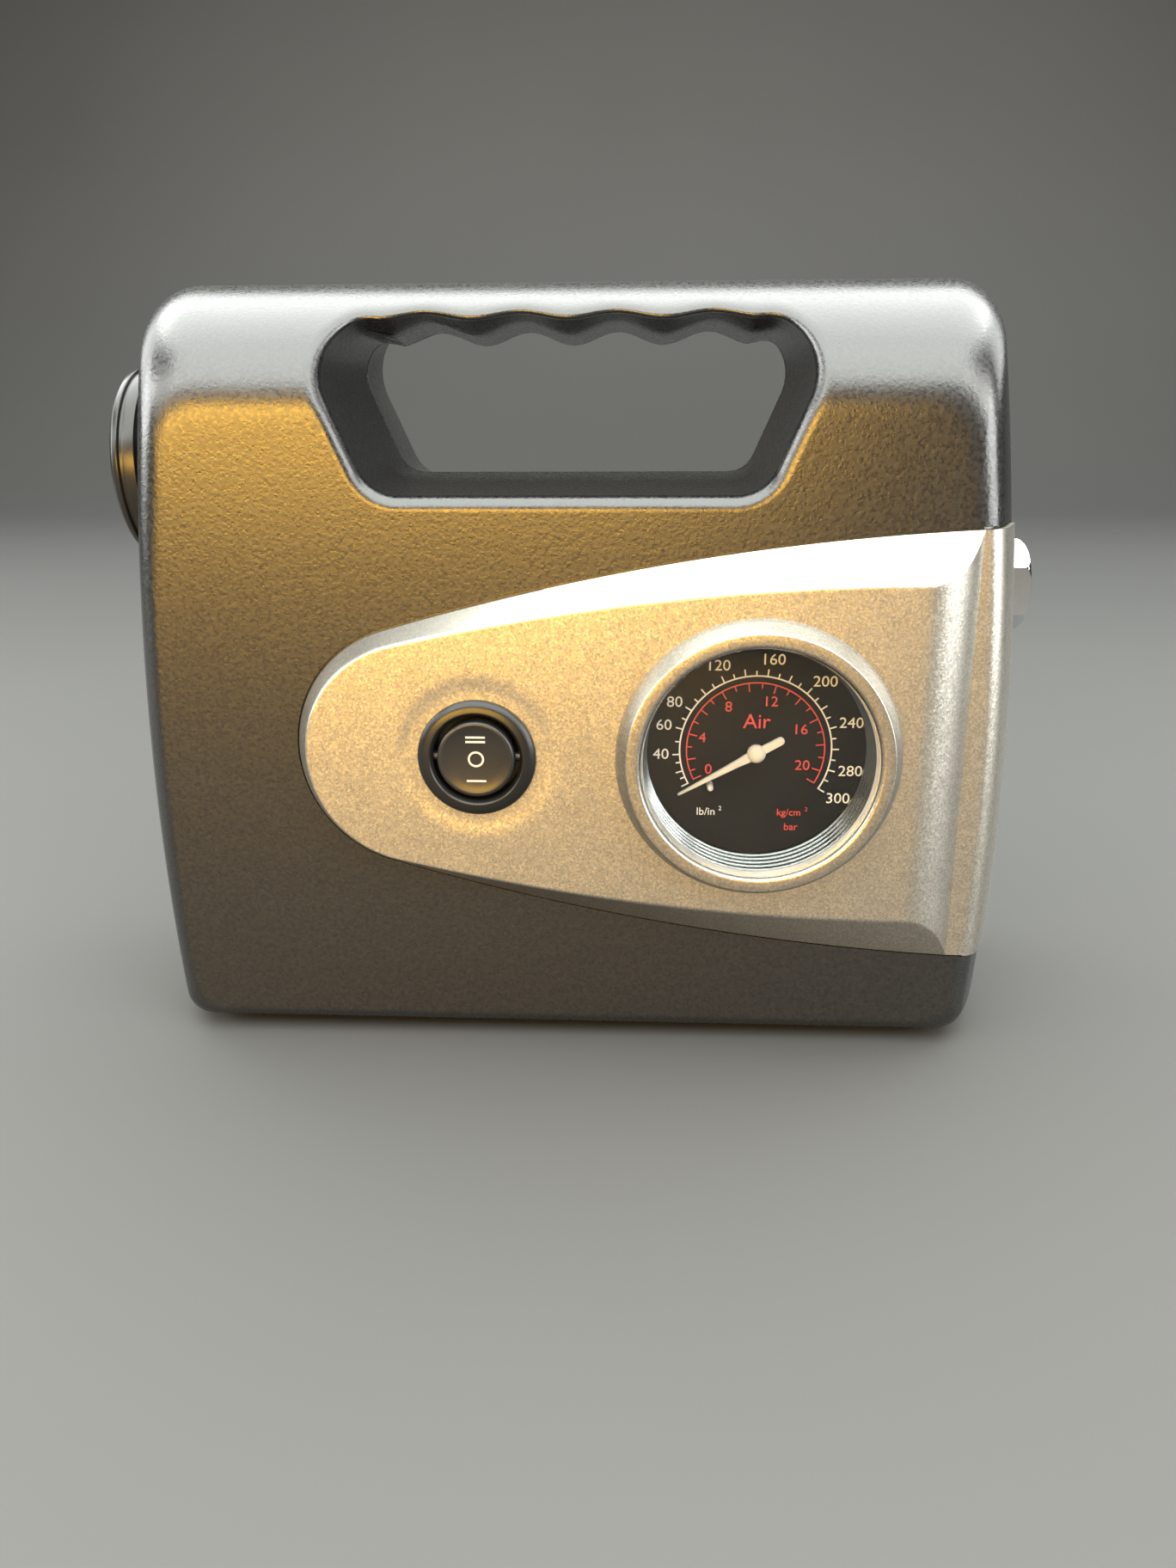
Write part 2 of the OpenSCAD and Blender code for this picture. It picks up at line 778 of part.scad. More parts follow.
sector_x = gauge_x + sector_dist * cos(sector_dir);
sector_z = panel_z + sector_dist * sin(sector_dir);

// Toothed quadrant that drives the needle's pinion, with a tail for the link
module gauge_sector() {
    teeth = needle_teeth * sector_ratio;
    pitch = 360 / teeth;
    root = sector_pitch_r - 0.38;
    face = sector_dir + 180;
    color("#c6a15e") translate([sector_x, 0, sector_z]) plate_y(-20.8, -19.4) difference() {
        union() {
            for (i = [-9 : 1]) polygon(turn_points(
                tooth(teeth, gauge_module, 0.06, sector_pitch_r + 0.2, root), face + (i + 0.5) * pitch));
            intersection() {
                circle(r = root + 0.02);
                polygon([[0, 0],
                    [30 * cos(face - 40), 30 * sin(face - 40)],
                    [30 * cos(face - 16), 30 * sin(face - 16)],
                    [30 * cos(face + 9), 30 * sin(face + 9)]]);
            }
            circle(r = 2.4);
            rotate(tail_dir) translate([0, -1.1]) square([tail_r, 2.2]);
            rotate(tail_dir) translate([tail_r, 0]) circle(r = 1.1);
        }
        circle(r = 0.8);
        rotate(tail_dir) translate([tail_r, 0]) circle(r = 0.45);
    }
}

module sector_axle() {
    color("#c8cacc") rod_y(sector_x, sector_z, -24.4, -15.6, 0.75);
}

// Two brass plates on pillars that carry the arbor and the sector's axle
module movement_frame() {
    pillars = [[gauge_x - 9, panel_z + 6], [gauge_x - 9, panel_z - 8], [gauge_x + 9, panel_z - 8]];
    color("#c6a15e") difference() {
        union() {
            for (y = [-24.4, -16.6]) plate_y(y, y + 1) hull() {
                translate([gauge_x - 9, panel_z + 6]) circle(r = 2.4);
                translate([gauge_x - 9, panel_z - 8]) circle(r = 2.4);
                translate([gauge_x + 9, panel_z - 8]) circle(r = 2.4);
                translate([sector_x + 1, sector_z]) circle(r = 2.8);
            }
            for (p = pillars) rod_y(p[0], p[1], -23.5, -16.5, 1.3);
            rod_y(gauge_x - 9, panel_z - 8, -15.7, case_back_y - 1.4, 1.8);
            rod_y(gauge_x - 9, panel_z + 6, -15.7, case_back_y - 1.4, 1.8);
        }
        rod_y(gauge_x, panel_z, -25, -15, 0.65);
        rod_y(sector_x, sector_z, -25, -15, 0.76);
    }
}

// C-shaped spring tube of flattened section round the movement
module bourdon_tube() {
    color("#cfa768") translate([gauge_x, -19.6, panel_z]) rotate([90, 0, 0]) rotate([0, 0, 20])
        rotate_extrude(angle = 250) translate([17.6, 0]) difference() {
            scale([1, 2.4]) circle(r = 1.1);
            scale([1, 2.9]) circle(r = 0.7);
        }
}

module bourdon_link() {
    tip = [gauge_x + 17.6 * cos(20), panel_z + 17.6 * sin(20)];
    tail = [sector_x + tail_r * cos(tail_dir), sector_z + tail_r * sin(tail_dir)];
    dir = atan2(tip[1] - tail[1], tip[0] - tail[0]);
    color("#c8cacc") plate_y(-23.1, -22.5) union() {
        translate(tip) circle(r = 1);
        translate(tail) circle(r = 1);
        translate(tail) rotate(dir) translate([0, -0.5]) square([norm(tip - tail), 1]);
    }
}

// Brass block that feeds the spring tube from the back of the case
module gauge_socket() {
    color("#b9975b") translate([gauge_x, 0, panel_z]) difference() {
        union() {
            translate([0, -22.6, -19.2]) cube([6, 7.2, 4]);
            plate_y(-15.6, case_back_y - 1.4) polygon([
                [0, -15.2], [0, -19.2], [6, -19.2], [15.2, -8.6], [15.2, 2], [9.8, 2], [6.4, -15.2]
            ]);
            rod_y(12.6, 0, -15.6, -4.4, 1.6);
        }
        rod_y(12.6, 0, -14.5, -4, 0.9);
    }
}

// ---------- switch ----------

pivot_y = -35.8;

module switch_housing() {
    color("#1d1d1f") difference() {
        turned_y(switch_x, panel_z) polygon([
            [0, -18], [0, -32.4], [8.45, -32.4], [8.45, plateau_y - 0.3], [9, plateau_y - 1.4],
            [10.9, plateau_y - 1.6], [flange_r, plateau_y - 1.1], [flange_r, plateau_y],
            [9.95, plateau_y], [9.95, -18]
        ]);
        rod_x(pivot_y, panel_z, switch_x - 9.6, switch_x + 9.6, 0.92);
        rod_y(switch_x, panel_z, -33, -28.4, 2.2);
    }
}

// Round rocker: a cap with a skirt and a stem that the pin crosses
module switch_rocker() {
    color("#202022") difference() {
        union() {
            turned_y(switch_x, panel_z) polygon([
                [0, -38.6], [6.6, -38.75], [7.2, -38.6], [rocker_r, -38.2], [rocker_r, -35.4],
                [6.6, -35.4], [6.6, -37.2], [0, -37.2]
            ]);
            rod_y(switch_x, panel_z, -37.3, -34, 2.4);
            translate([switch_x - 6.8, pivot_y - 1.8, panel_z - 1.9]) cube([13.6, 3.4, 3.8]);
        }
        rod_x(pivot_y, panel_z, switch_x - 9, switch_x + 9, 0.95);
        rod_y(switch_x, panel_z, -34.6, -33, 1.1);
    }
}

module rocker_pin() {
    color("#a9abad") rod_x(pivot_y, panel_z, switch_x - 9.5, switch_x + 9.5, 0.9);
}

module switch_plunger() {
    color("#c9a25c") {
        rod_y(switch_x, panel_z, -34.5, -33.2, 1.05);
        translate([switch_x, -33.2, panel_z]) sphere(r = 0.9);
    }
}

module switch_contacts() {
    color("#d0b06a") for (x = [-5, 0, 5]) translate([switch_x + x - 0.4, -18, panel_z - 3.15])
        cube([0.8, 8.5, 6.3]);
}

// ---------- pump drive ----------

// Steel bracket that carries motor, gear and cylinder
module frame_plate() {
    color("#9fa3a6") difference() {
        union() {
            plate_x(plate_x0, plate_x1) translate([drive_y - 17, 8]) square([36.4, 90]);
            translate([-58, 21, 9]) cube([58 + plate_x0 + 0.1, frame_boss_y - 21, 12]);
            translate([plate_x1 - 0.1, 21, 80]) cube([12, frame_boss_y - 21, 12]);
        }
        rod_x(drive_y, motor_z, -46, -42, 6.6);
        for (s = [-1, 1]) rod_x(drive_y + s * 12.5, motor_z, -46, -42, 1.6);
        rod_x(drive_y, gear_z, -46, -42, 3.01);
        for (p = frame_boss_at) rod_y(p[0], p[1], 20, 25, 1.6);
    }
}

module frame_screws() {
    color("#8d8f92") for (p = frame_boss_at) mirror([0, 1, 0]) case_screw(p[0], p[1], -21, 8, 1.22);
}

module motor_can() {
    color("#b4b7ba") difference() {
        rod_x(drive_y, motor_z, plate_x1, 6, motor_r);
        rod_x(drive_y, motor_z, plate_x1 + 1.6, 7, motor_r - 1.5);
        rod_x(drive_y, motor_z, -44, -40, 4.5);
        for (s = [-1, 1]) rod_x(drive_y + s * 12.5, motor_z, -44, -40, 1.3);
    }
}

module motor_end_cap() {
    color("#2a2c30") difference() {
        union() {
            rod_x(drive_y, motor_z, 6, 8.4, motor_r);
            rod_x(drive_y, motor_z, 3.5, 6, motor_r - 1.55);
            rod_x(drive_y, motor_z, 8.4, 11, 6.5);
            for (s = [-1, 1]) translate([-2.6, drive_y + s * 9.6 - 3.6, motor_z - 2.6])
                cube([6.2, 7.2, 5.2]);
        }
        rod_x(drive_y, motor_z, -4, 12, 4.5);
        for (s = [-1, 1]) translate([-2.05, drive_y + s * 9.6 - 6, motor_z - 1.55]) cube([4.1, 12, 3.1]);
    }
}

module motor_magnets() {
    color("#4b4d50") for (s = [0, 180]) translate([-36, drive_y, motor_z]) rotate([s, 0, 0])
        rotate([0, 90, 0]) rotate([0, 0, -55]) rotate_extrude(angle = 110)
            translate([12.6, 0]) square([motor_r - 1.5 - 12.6, 34]);
}

module motor_bushes() {
    color("#a97e45") for (x = [[-44.5, -39.6], [5.2, 10.9]]) pipe_x(drive_y, motor_z, x[0], x[1], 4.5, 1.64);
}

module motor_brushes() {
    color("#55504a") for (s = [-1, 1])
        translate([-2, drive_y + s * 8.15 - 3.75, motor_z - 1.5]) cube([4, 7.5, 3]);
}

module motor_screws() {
    color("#8d8f92") for (s = [-1, 1]) turned_x(drive_y + s * 12.5, motor_z) polygon([
        [0, -47.1], [1.9, -47.1], [2.6, -46.4], [2.6, plate_x0], [1.25, plate_x0], [1.25, -39.6], [0, -39.6]
    ]);
}

module motor_shaft() {
    color("#cfd1d3") rod_x(drive_y, motor_z, -53, 11.4, 1.59);
}

// Laminated core with five T-slots for the windings
module armature() {
    color("#8b8d90") plate_x(-33, -7) translate([drive_y, motor_z]) difference() {
        circle(r = 11.8);
        circle(r = 1.6);
        for (i = [0 : 4]) rotate(72 * i) {
            translate([6, -0.8]) square([7, 1.6]);
            intersection() {
                difference() {
                    circle(r = 9.8);
                    circle(r = 4.4);
                }
                polygon([[0, 0], [20, -11], [20, 11]]);
            }
        }
    }
}

module windings() {
    color("#b3622a") for (x = [[-37.5, -33.2], [-6.8, -3.6]]) turned_x(drive_y, motor_z) polygon([
        [1.59, x[0]], [8.6, x[0]], [10.2, x[0] + 1.1], [10.2, x[1]], [1.59, x[1]]
    ]);
}

module commutator() {
    color("#c07a3e") pipe_x(drive_y, motor_z, -3.4, 2.6, 4, 1.59);
}

module motor_pinion() {
    rp = gear_module * pinion_teeth / 2;
    color("#c3c5c7") plate_x(-52.6, -46.6) translate([drive_y, motor_z]) difference() {
        polygon(gear_outline(pinion_teeth, gear_module, 0.12, rp + 0.62, rp - 0.95, 90));
        circle(r = 1.6);
    }
}

// Large crank gear: rim, web with round windows, hub and the boss of the crank pin
module drive_gear() {
    rp = gear_module * gear_teeth / 2;
    color("#d9d6cc") difference() {
        union() {
            plate_x(-52.1, -47.1) translate([drive_y, gear_z])
                polygon(gear_outline(gear_teeth, gear_module, 0.12, rp + 0.5, rp - 0.95, 3));
            rod_x(drive_y, gear_z, -47.2, -46, 6);
            rod_x(drive_y, eye_z, -53.6, -52, 3.6);
        }
        rod_x(drive_y, gear_z, -54, -45, 3 + fit);
        for (a = [30 : 60 : 330]) translate([0, drive_y + 13.2 * cos(a), gear_z + 13.2 * sin(a)])
            rotate([0, 90, 0]) translate([0, 0, -54]) cylinder(h = 9, r = 3.4);
    }
}

module gear_axle() {
    color("#b9bbbd") {
        rod_x(drive_y, gear_z, -53, -42.75, 3);
        rod_x(drive_y, gear_z, -53.2, -52.4, 4);
    }
}

module crank_pin() {
    color("#b9bbbd") {
        rod_x(drive_y, eye_z, -61.5, -54, 2.5);
        rod_x(drive_y, eye_z, -62.3, -61, 3.8);
    }
}

// Connecting rod in one piece with the piston
module piston_rod() {
    color("#9a9da0") difference() {
        union() {
            plate_x(rod_x0, rod_x1) union() {
                translate([drive_y, eye_z]) circle(r = 5.6);
                polygon([[drive_y - 4, eye_z + 3], [drive_y + 4, eye_z + 3],
                    [drive_y + 2.8, piston_top_z - 4], [drive_y - 2.8, piston_top_z - 4]]);
            }
            translate([rod_mid_x, drive_y, piston_top_z - 5]) rotate_extrude() polygon([
                [0, 0], [9.5, 0], [9.5, 1.5], [8, 1.5], [8, 3.5], [9.5, 3.5], [9.5, 5], [0, 5]
            ]);
        }
        rod_x(drive_y, eye_z, -62, -54, 2.52);
    }
}

module piston_seal() {
    color("#e9e6dc") translate([rod_mid_x, drive_y, piston_top_z - 3.5]) difference() {
        cylinder(h = 2, r = bore_r - fit);
        translate([0, 0, -1]) cylinder(h = 4, r = 8);
    }
}

// Cast cylinder with cooling fins, flat where it bolts to the bracket
module pump_cylinder() {
    fins = [for (i = [0 : 5]) cylinder_z0 + 4.5 + i * 3.8];
    color("#c2c4c6") difference() {
        intersection() {
            union() {
                rod_z(rod_mid_x, drive_y, cylinder_z0, cylinder_z1, 12.5);
                for (z = fins) rod_z(rod_mid_x, drive_y, z, z + 1.5, 14);
                rod_z(rod_mid_x, drive_y, cylinder_z1 - 2.5, cylinder_z1, 14.5);
            }
            translate([-80, -20, 60]) cube([80 + plate_x0, 48, 60]);
        }
        rod_z(rod_mid_x, drive_y, cylinder_z0 - 1, cylinder_z1 + 1, bore_r);
        for (a = [45 : 90 : 315]) rod_z(rod_mid_x + 12.2 * cos(a), drive_y + 12.2 * sin(a),
            cylinder_z1 - 9, cylinder_z1 + 1, 1.05);
    }
}

module valve_plate() {
    color("#aeb1b4") difference() {
        rod_z(rod_mid_x, drive_y, cylinder_z1, cylinder_z1 + 1, 14);
        rod_z(rod_mid_x, drive_y, cylinder_z1 - 1, cylinder_z1 + 2, 1.5);
        for (a = [45 : 90 : 315]) rod_z(rod_mid_x + 12.2 * cos(a), drive_y + 12.2 * sin(a),
            cylinder_z1 - 1, cylinder_z1 + 2, 1.15);
    }
}

module cylinder_head() {
    z0 = cylinder_z1 + 1;
    color("#c2c4c6") difference() {
        union() {
            rod_z(rod_mid_x, drive_y, z0, head_z1 - 1, 14);
            rod_z(rod_mid_x, drive_y, z0, head_z1, 6);
            rod_x(drive_y, line_z, rod_mid_x, -38, 2.6);
            rod_x(drive_y, line_z, rod_mid_x, -44.6, 3.2);
        }
        rod_z(rod_mid_x, drive_y, z0 - 1, line_z, 4);
        rod_x(drive_y, line_z, rod_mid_x, -37, 1.6);
        for (a = [45 : 90 : 315]) rod_z(rod_mid_x + 12.2 * cos(a), drive_y + 12.2 * sin(a),
            z0 - 1, head_z1 + 1, 1.2);
    }
}

module head_screws() {
    color("#8d8f92") for (a = [45 : 90 : 315])
        translate([rod_mid_x + 12.2 * cos(a), drive_y + 12.2 * sin(a), 0]) {
            translate([0, 0, cylinder_z1 - 7]) cylinder(h = 15.1, r = 1);
            translate([0, 0, head_z1 - 1]) cylinder(h = 1.4, r = 1.9);
        }
}

front_shell();
rear_shell();
front_panel();
rubber_feet();
shell_screws();
cord_gland();
outlet_fitting();
outlet_nut();
outlet_seal();
tee_block();
air_tube();
gauge_tube();
lamp_bezel();
lamp_lens();
lamp_reflector();
lamp_board();
lamp_led();
gauge_ring();
gauge_case();
gauge_dial();
gauge_lens();
gauge_needle();
needle_arbor();
needle_stop();
gauge_sector();
sector_axle();
movement_frame();
bourdon_tube();
bourdon_link();
gauge_socket();
switch_housing();
switch_rocker();
rocker_pin();
switch_plunger();
switch_contacts();
frame_plate();
frame_screws();
motor_can();
motor_end_cap();
motor_magnets();
motor_bushes();
motor_brushes();
motor_screws();
motor_shaft();
armature();
windings();
commutator();
motor_pinion();
drive_gear();
gear_axle();
crank_pin();
piston_rod();
piston_seal();
pump_cylinder();
valve_plate();
cylinder_head();
head_screws();
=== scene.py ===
import json
from math import acos, atan, atan2, cos, hypot, pi, radians, sin, sqrt, tan
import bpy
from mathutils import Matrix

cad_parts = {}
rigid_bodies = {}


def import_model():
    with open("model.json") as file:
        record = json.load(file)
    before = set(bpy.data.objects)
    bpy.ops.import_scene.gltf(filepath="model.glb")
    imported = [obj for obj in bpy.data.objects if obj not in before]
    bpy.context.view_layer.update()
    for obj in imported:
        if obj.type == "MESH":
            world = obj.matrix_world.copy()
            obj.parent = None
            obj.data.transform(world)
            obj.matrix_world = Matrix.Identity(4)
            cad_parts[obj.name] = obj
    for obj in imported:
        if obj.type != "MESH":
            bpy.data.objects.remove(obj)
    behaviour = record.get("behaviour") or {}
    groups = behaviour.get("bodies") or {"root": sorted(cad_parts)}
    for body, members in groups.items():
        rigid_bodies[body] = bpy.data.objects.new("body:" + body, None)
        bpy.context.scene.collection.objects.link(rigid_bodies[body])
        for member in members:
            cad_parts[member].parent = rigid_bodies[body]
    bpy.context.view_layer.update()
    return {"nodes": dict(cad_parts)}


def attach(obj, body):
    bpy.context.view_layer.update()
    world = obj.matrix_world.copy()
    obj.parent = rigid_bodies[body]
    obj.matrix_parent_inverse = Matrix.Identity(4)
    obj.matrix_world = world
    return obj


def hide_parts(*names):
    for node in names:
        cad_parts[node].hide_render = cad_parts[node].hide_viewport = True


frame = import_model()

from types import SimpleNamespace

import bmesh
import bpy
import numpy as np
from mathutils import Matrix, Vector

MM = 0.001
TOUCH = 1e-7             # metres; points closer than this are one point


def placed(name, data):
    """A new object in the scene."""
    made = bpy.data.objects.new(name, data)
    bpy.context.scene.collection.objects.link(made)
    return made


def plain_mesh(thing):
    """The mesh that an object's text or modifiers give; the object itself is removed."""
    seen = thing.evaluated_get(bpy.context.evaluated_depsgraph_get())
    made = bpy.data.meshes.new_from_object(seen)
    bpy.data.objects.remove(thing)
    return made


# ---- camera

camera = placed("camera", bpy.data.cameras.new("camera"))
axes = Matrix(((0.99862, 0.05224, -0.00515),     # to the right of the picture
               (-0.01125, 0.30869, 0.95110),     # upwards
               (0.05127, -0.94973, 0.30886)))    # out of the picture
camera.matrix_world = Matrix.Translation((0.01676, -0.25949, 0.13153)) @ axes.transposed().to_4x4()
camera.data.sensor_width = 36
camera.data.lens = 27.716
camera.data.clip_start = 0.01
bpy.context.scene.camera = camera
bpy.context.scene.view_settings.view_transform = "Standard"

# ---- sizes, in millimetres

HALF_DEPTH = 31          # the case is 62 deep
WALL = 2.6
FOOT = 3.3               # the pads lift the case by this much
CROWN = 127.3            # the crown's half ellipse starts here
CROWN_RISE = 25
EDGE = 2.5               # fillet round the front and back faces
SIDE_X, SIDE_Z, SIDE_R = 91.25, 50, 576.0    # the bulging sides: widest point and radius
TAPER, TAPER_POWER = 8, 2.2                  # the sides draw in towards the front and back
LOW_R, TOP_R = 5, 10                         # corners of the case, seen from the front
PANEL_Z = 64.3           # the panel, gauge and switch share this height
GAUGE_X = 37.4
SWITCH_X = -16.8
HOLE = SimpleNamespace(bottom=36.9, z0=113.2, z1=145.5, slant=0.437, r_top=10.8, r_low=8,
                       rim=2.8, pitch=17.9, reach=41)
NEEDLE_ZERO = 209.5      # degrees, needle at rest
GAUGE, SWITCH = ("y", GAUGE_X, PANEL_Z), ("y", SWITCH_X, PANEL_Z)
LAMP, OUTLET = ("x", 2.0, 117.4), ("x", 4.0, 91.7)
GLAND = ("y", -60, 34)
SCREWS = [(-60, 142), (60, 142), (-74, 63), (75, 55), (-72, 12), (72, 12)]


# ---- node trees

class Nodes:
    """A short way to write a node tree."""

    def node(self, kind, inputs=(), **values):
        """A node; each of its inputs is given a value or another node's output."""
        made = self.tree.nodes.new(kind)
        for key, value in values.items():
            setattr(made, key, value)
        for key, source in dict(inputs).items():
            if hasattr(source, "is_output"):
                self.tree.links.new(source, made.inputs[key])
            else:
                made.inputs[key].default_value = source
        return made

    def first(self, kind, inputs=(), **values):
        """The first output of a new node."""
        return self.node(kind, inputs, **values).outputs[0]


class Shader(Nodes):
    """A material with its node tree."""

    def __init__(self, name, color, rough, metal=0.0, **sockets):
        self.mat = bpy.data.materials.new(name)
        self.mat.use_nodes = True
        self.mat.diffuse_color = (*color, 1)
        self.tree = self.mat.node_tree
        self.bsdf = self.tree.nodes["Principled BSDF"]
        sockets.update(Base_Color=(*color, 1), Roughness=rough, Metallic=metal)
        for key, value in sockets.items():
            self.bsdf.inputs[key.replace("_", " ")].default_value = value
        self.coords = self.node("ShaderNodeTexCoord").outputs["Object"]

    def set(self, key, source):
        self.tree.links.new(source, self.bsdf.inputs[key])

    def stretched(self, scale):
        return self.first("ShaderNodeMapping", {"Vector": self.coords, "Scale": scale})

    def noise(self, scale, detail, rough=0.5, vector=None):
        return self.first("ShaderNodeTexNoise", {
            "Vector": vector or self.coords, "Scale": scale, "Detail": detail,
            "Roughness": rough})

    def cells(self, scale):
        """A random colour for each small cell."""
        made = self.node("ShaderNodeTexVoronoi", {"Vector": self.coords, "Scale": scale})
        return made.outputs["Color"]

    def tilted(self, cells, lean):
        """A normal that leans another way in every cell, as flakes lie in paint."""
        turn = self.first("ShaderNodeVectorMath", {
            0: cells, 1: (2 * lean,) * 3, 2: (-lean,) * 3}, operation="MULTIPLY_ADD")
        straight = self.node("ShaderNodeNewGeometry").outputs["Normal"]
        both = self.first("ShaderNodeVectorMath", {0: straight, 1: turn}, operation="ADD")
        return self.first("ShaderNodeVectorMath", {0: both}, operation="NORMALIZE")

    def ramp(self, source, *stops):
        made = self.node("ShaderNodeValToRGB", {"Fac": source})
        while len(made.color_ramp.elements) < len(stops):
            made.color_ramp.elements.new(0.5)
        for element, (place, color) in zip(made.color_ramp.elements, stops):
            element.position = place
            element.color = (*color, 1)
        return made.outputs["Color"]

    def range(self, source, low, high, start, end):
        """Spreads the source's values from start..end over low..high."""
        return self.first("ShaderNodeMapRange", {
            "Value": source, "From Min": start, "From Max": end, "To Min": low, "To Max": high})

    def tone(self, source, start, end, a, b):
        """Base colour that goes from a to b as the source goes from start to end."""
        made = self.node("ShaderNodeMix", {
            0: self.range(source, 0, 1, start, end), 6: (*a, 1), 7: (*b, 1)}, data_type="RGBA")
        self.set("Base Color", made.outputs[2])

    def gloss(self, source, low, high, start=0.0, end=1.0):
        """Roughness that goes from low to high as the source goes from start to end."""
        self.set("Roughness", self.range(source, low, high, start, end))

    def bump(self, *heights, normal=None):
        """heights are (source, strength, distance in metres), finest last."""
        for source, strength, distance in heights:
            inputs = {"Height": source, "Strength": strength, "Distance": distance}
            if normal:
                inputs["Normal"] = normal
            normal = self.first("ShaderNodeBump", inputs)
        self.set("Normal", normal)


def shade(color, by, plus=0.0):
    """A lighter or darker colour."""
    return tuple(min(1, c * by + plus) for c in color)


def moulded(name, color, rough, grain=2600, depth=0.00003, shine=0.5):
    """Moulded plastic or rubber: fine spark-eroded grain and slightly uneven gloss."""
    s = Shader(name, color, rough, Specular_IOR_Level=shine)
    s.tone(s.noise(45, 3), 0.35, 0.7, color, shade(color, 1.6, 0.001))
    s.gloss(s.noise(130, 4), rough - 0.05, rough + 0.06)
    s.bump((s.noise(grain * 0.3, 2), 0.25, depth * 2), (s.noise(grain, 3, 0.6), 0.45, depth))
    return s.mat


def eroded(name, color, rough, grain=1500):
    """Glossy plastic with the deep grain of a spark-eroded mould."""
    s = Shader(name, color, rough, Specular_IOR_Level=0.9)
    pits = s.noise(grain, 2, 0.6)
    s.tone(pits, 0.35, 0.65, color, shade(color, 2.2))
    s.gloss(s.noise(grain * 0.8, 2), rough - 0.04, rough + 0.07, 0.3, 0.7)
    s.bump((s.noise(500, 2), 0.08, 0.00003), (pits, 0.5, 0.0001))
    return s.mat


def metal(name, color, rough, brushed=None, scale=900):
    """Metal with a faint tarnish; brushed is the stretch of its scratches."""
    s = Shader(name, color, rough, 1.0)
    s.tone(s.noise(60, 4), 0.35, 0.75, color, shade(color, 0.82))
    streak = s.noise(scale, 3, 0.6, s.stretched(brushed) if brushed else None)
    s.gloss(streak, max(0.03, rough - 0.07), rough + 0.10)
    s.bump((streak, 0.15, 0.00002))
    return s.mat


def paint(name, color, rough, flake=3000, lean=0.035):
    """Silver paint with fine metal flake under a satin top coat."""
    s = Shader(name, color, rough, 0.96, Coat_Weight=0.12, Coat_Roughness=0.3)
    flakes = s.cells(flake)
    s.set("Base Color", s.ramp(flakes, (0.25, shade(color, 0.80)), (0.62, color),
                               (0.95, shade(color, 1.18))))
    s.gloss(s.noise(160, 4), rough - 0.04, rough + 0.05)
    s.bump((s.noise(700, 2), 0.10, 0.00003), (s.noise(flake, 2), 0.30, 0.00002),
           normal=s.tilted(flakes, lean))
    return s.mat


def clear(name, tint, rough, ior):
    """Clear moulding that lets the lamps' light through."""
    s = Shader(name, tint, rough, Transmission_Weight=1.0, IOR=ior)
    s.gloss(s.noise(90, 3), rough, rough + 0.02)
    shadow = s.node("ShaderNodeLightPath").outputs["Is Shadow Ray"]
    through = s.first("ShaderNodeBsdfTransparent", {"Color": (*tint, 1)})
    both = s.first("ShaderNodeMixShader", {0: shadow, 1: s.bsdf.outputs["BSDF"], 2: through})
    s.tree.links.new(both, s.tree.nodes["Material Output"].inputs["Surface"])
    return s.mat


def printed(name, color):
    """Screen-printed ink, a little uneven."""
    s = Shader(name, color, 0.55)
    s.tone(s.noise(1500, 3), 0.3, 0.7, color, shade(color, 0.86))
    s.bump((s.noise(5000, 2), 0.2, 0.00001))
    return s.mat


FINISH = {
    "case": eroded("black_grained_plastic", (0.003,) * 3, 0.27),
    # silver paint for the panel; its warm tint is partly a painted warm reflection, laid over the
    # paint's own silver
    "silver": paint("silver_paint_with_painted_warm_sheen", (0.435, 0.416, 0.370), 0.36),
    "switch": moulded("black_switch_plastic", (0.013, 0.013, 0.014), 0.30, 3200, 0.00001),
    "rubber": moulded("black_rubber", (0.018,) * 3, 0.72, 1500, 0.00004),
    "hose": moulded("grey_hose", (0.17, 0.18, 0.19), 0.5, 1200),
    "nylon": moulded("cream_nylon", (0.66, 0.63, 0.55), 0.42, 1500, 0.00002),
    "board": moulded("green_board", (0.02, 0.16, 0.06), 0.4, 900, 0.00002),
    "dial": moulded("black_dial_card", (0.002,) * 3, 0.6, 4000, 0.00001, shine=0.03),
    "magnet": moulded("ferrite", (0.05, 0.05, 0.055), 0.6, 800, 0.00005),
    "chrome": metal("chrome", (0.80, 0.81, 0.83), 0.07, scale=300),
    "mirror": metal("vacuum_plated", (0.86,) * 3, 0.05, scale=200),
    "steel": metal("zinc_plated_steel", (0.60, 0.60, 0.59), 0.30, (1, 1, 9)),
    "dark_steel": metal("oiled_steel", (0.28, 0.28, 0.29), 0.36, (9, 1, 1)),
    "brass": metal("turned_brass", (0.72, 0.52, 0.24), 0.26, (9, 1, 1)),
    "bronze": metal("phosphor_bronze", (0.60, 0.38, 0.20), 0.32),
    "copper": metal("enamelled_copper", (0.62, 0.26, 0.12), 0.24, (1, 12, 1)),
    "alloy": metal("cast_alloy", (0.52, 0.53, 0.54), 0.48, scale=500),
    "clear": clear("clear_acrylic", (0.96, 0.97, 0.97), 0.0, 1.38),
    "led": clear("clear_led_epoxy", (0.90, 0.93, 0.95), 0.05, 1.52),
    "needle": moulded("cream_needle_paint", (0.20, 0.195, 0.178), 0.5, 2500, 0.00001, shine=0.15),
}
CREAM = printed("cream_ink", (0.42, 0.40, 0.355))
WHITE_INK = printed("white_ink", (0.37, 0.39, 0.42))
RED_INK = printed("red_ink", (0.29, 0.012, 0.017))
GLOSS = moulded("black_rocker_plastic", (0.010,) * 3, 0.28, 3600, 0.000006, shine=0.45)
FLANGE = moulded("satin_bezel_plastic", (0.005,) * 3, 0.28, 2600, 0.00001, shine=0.42)
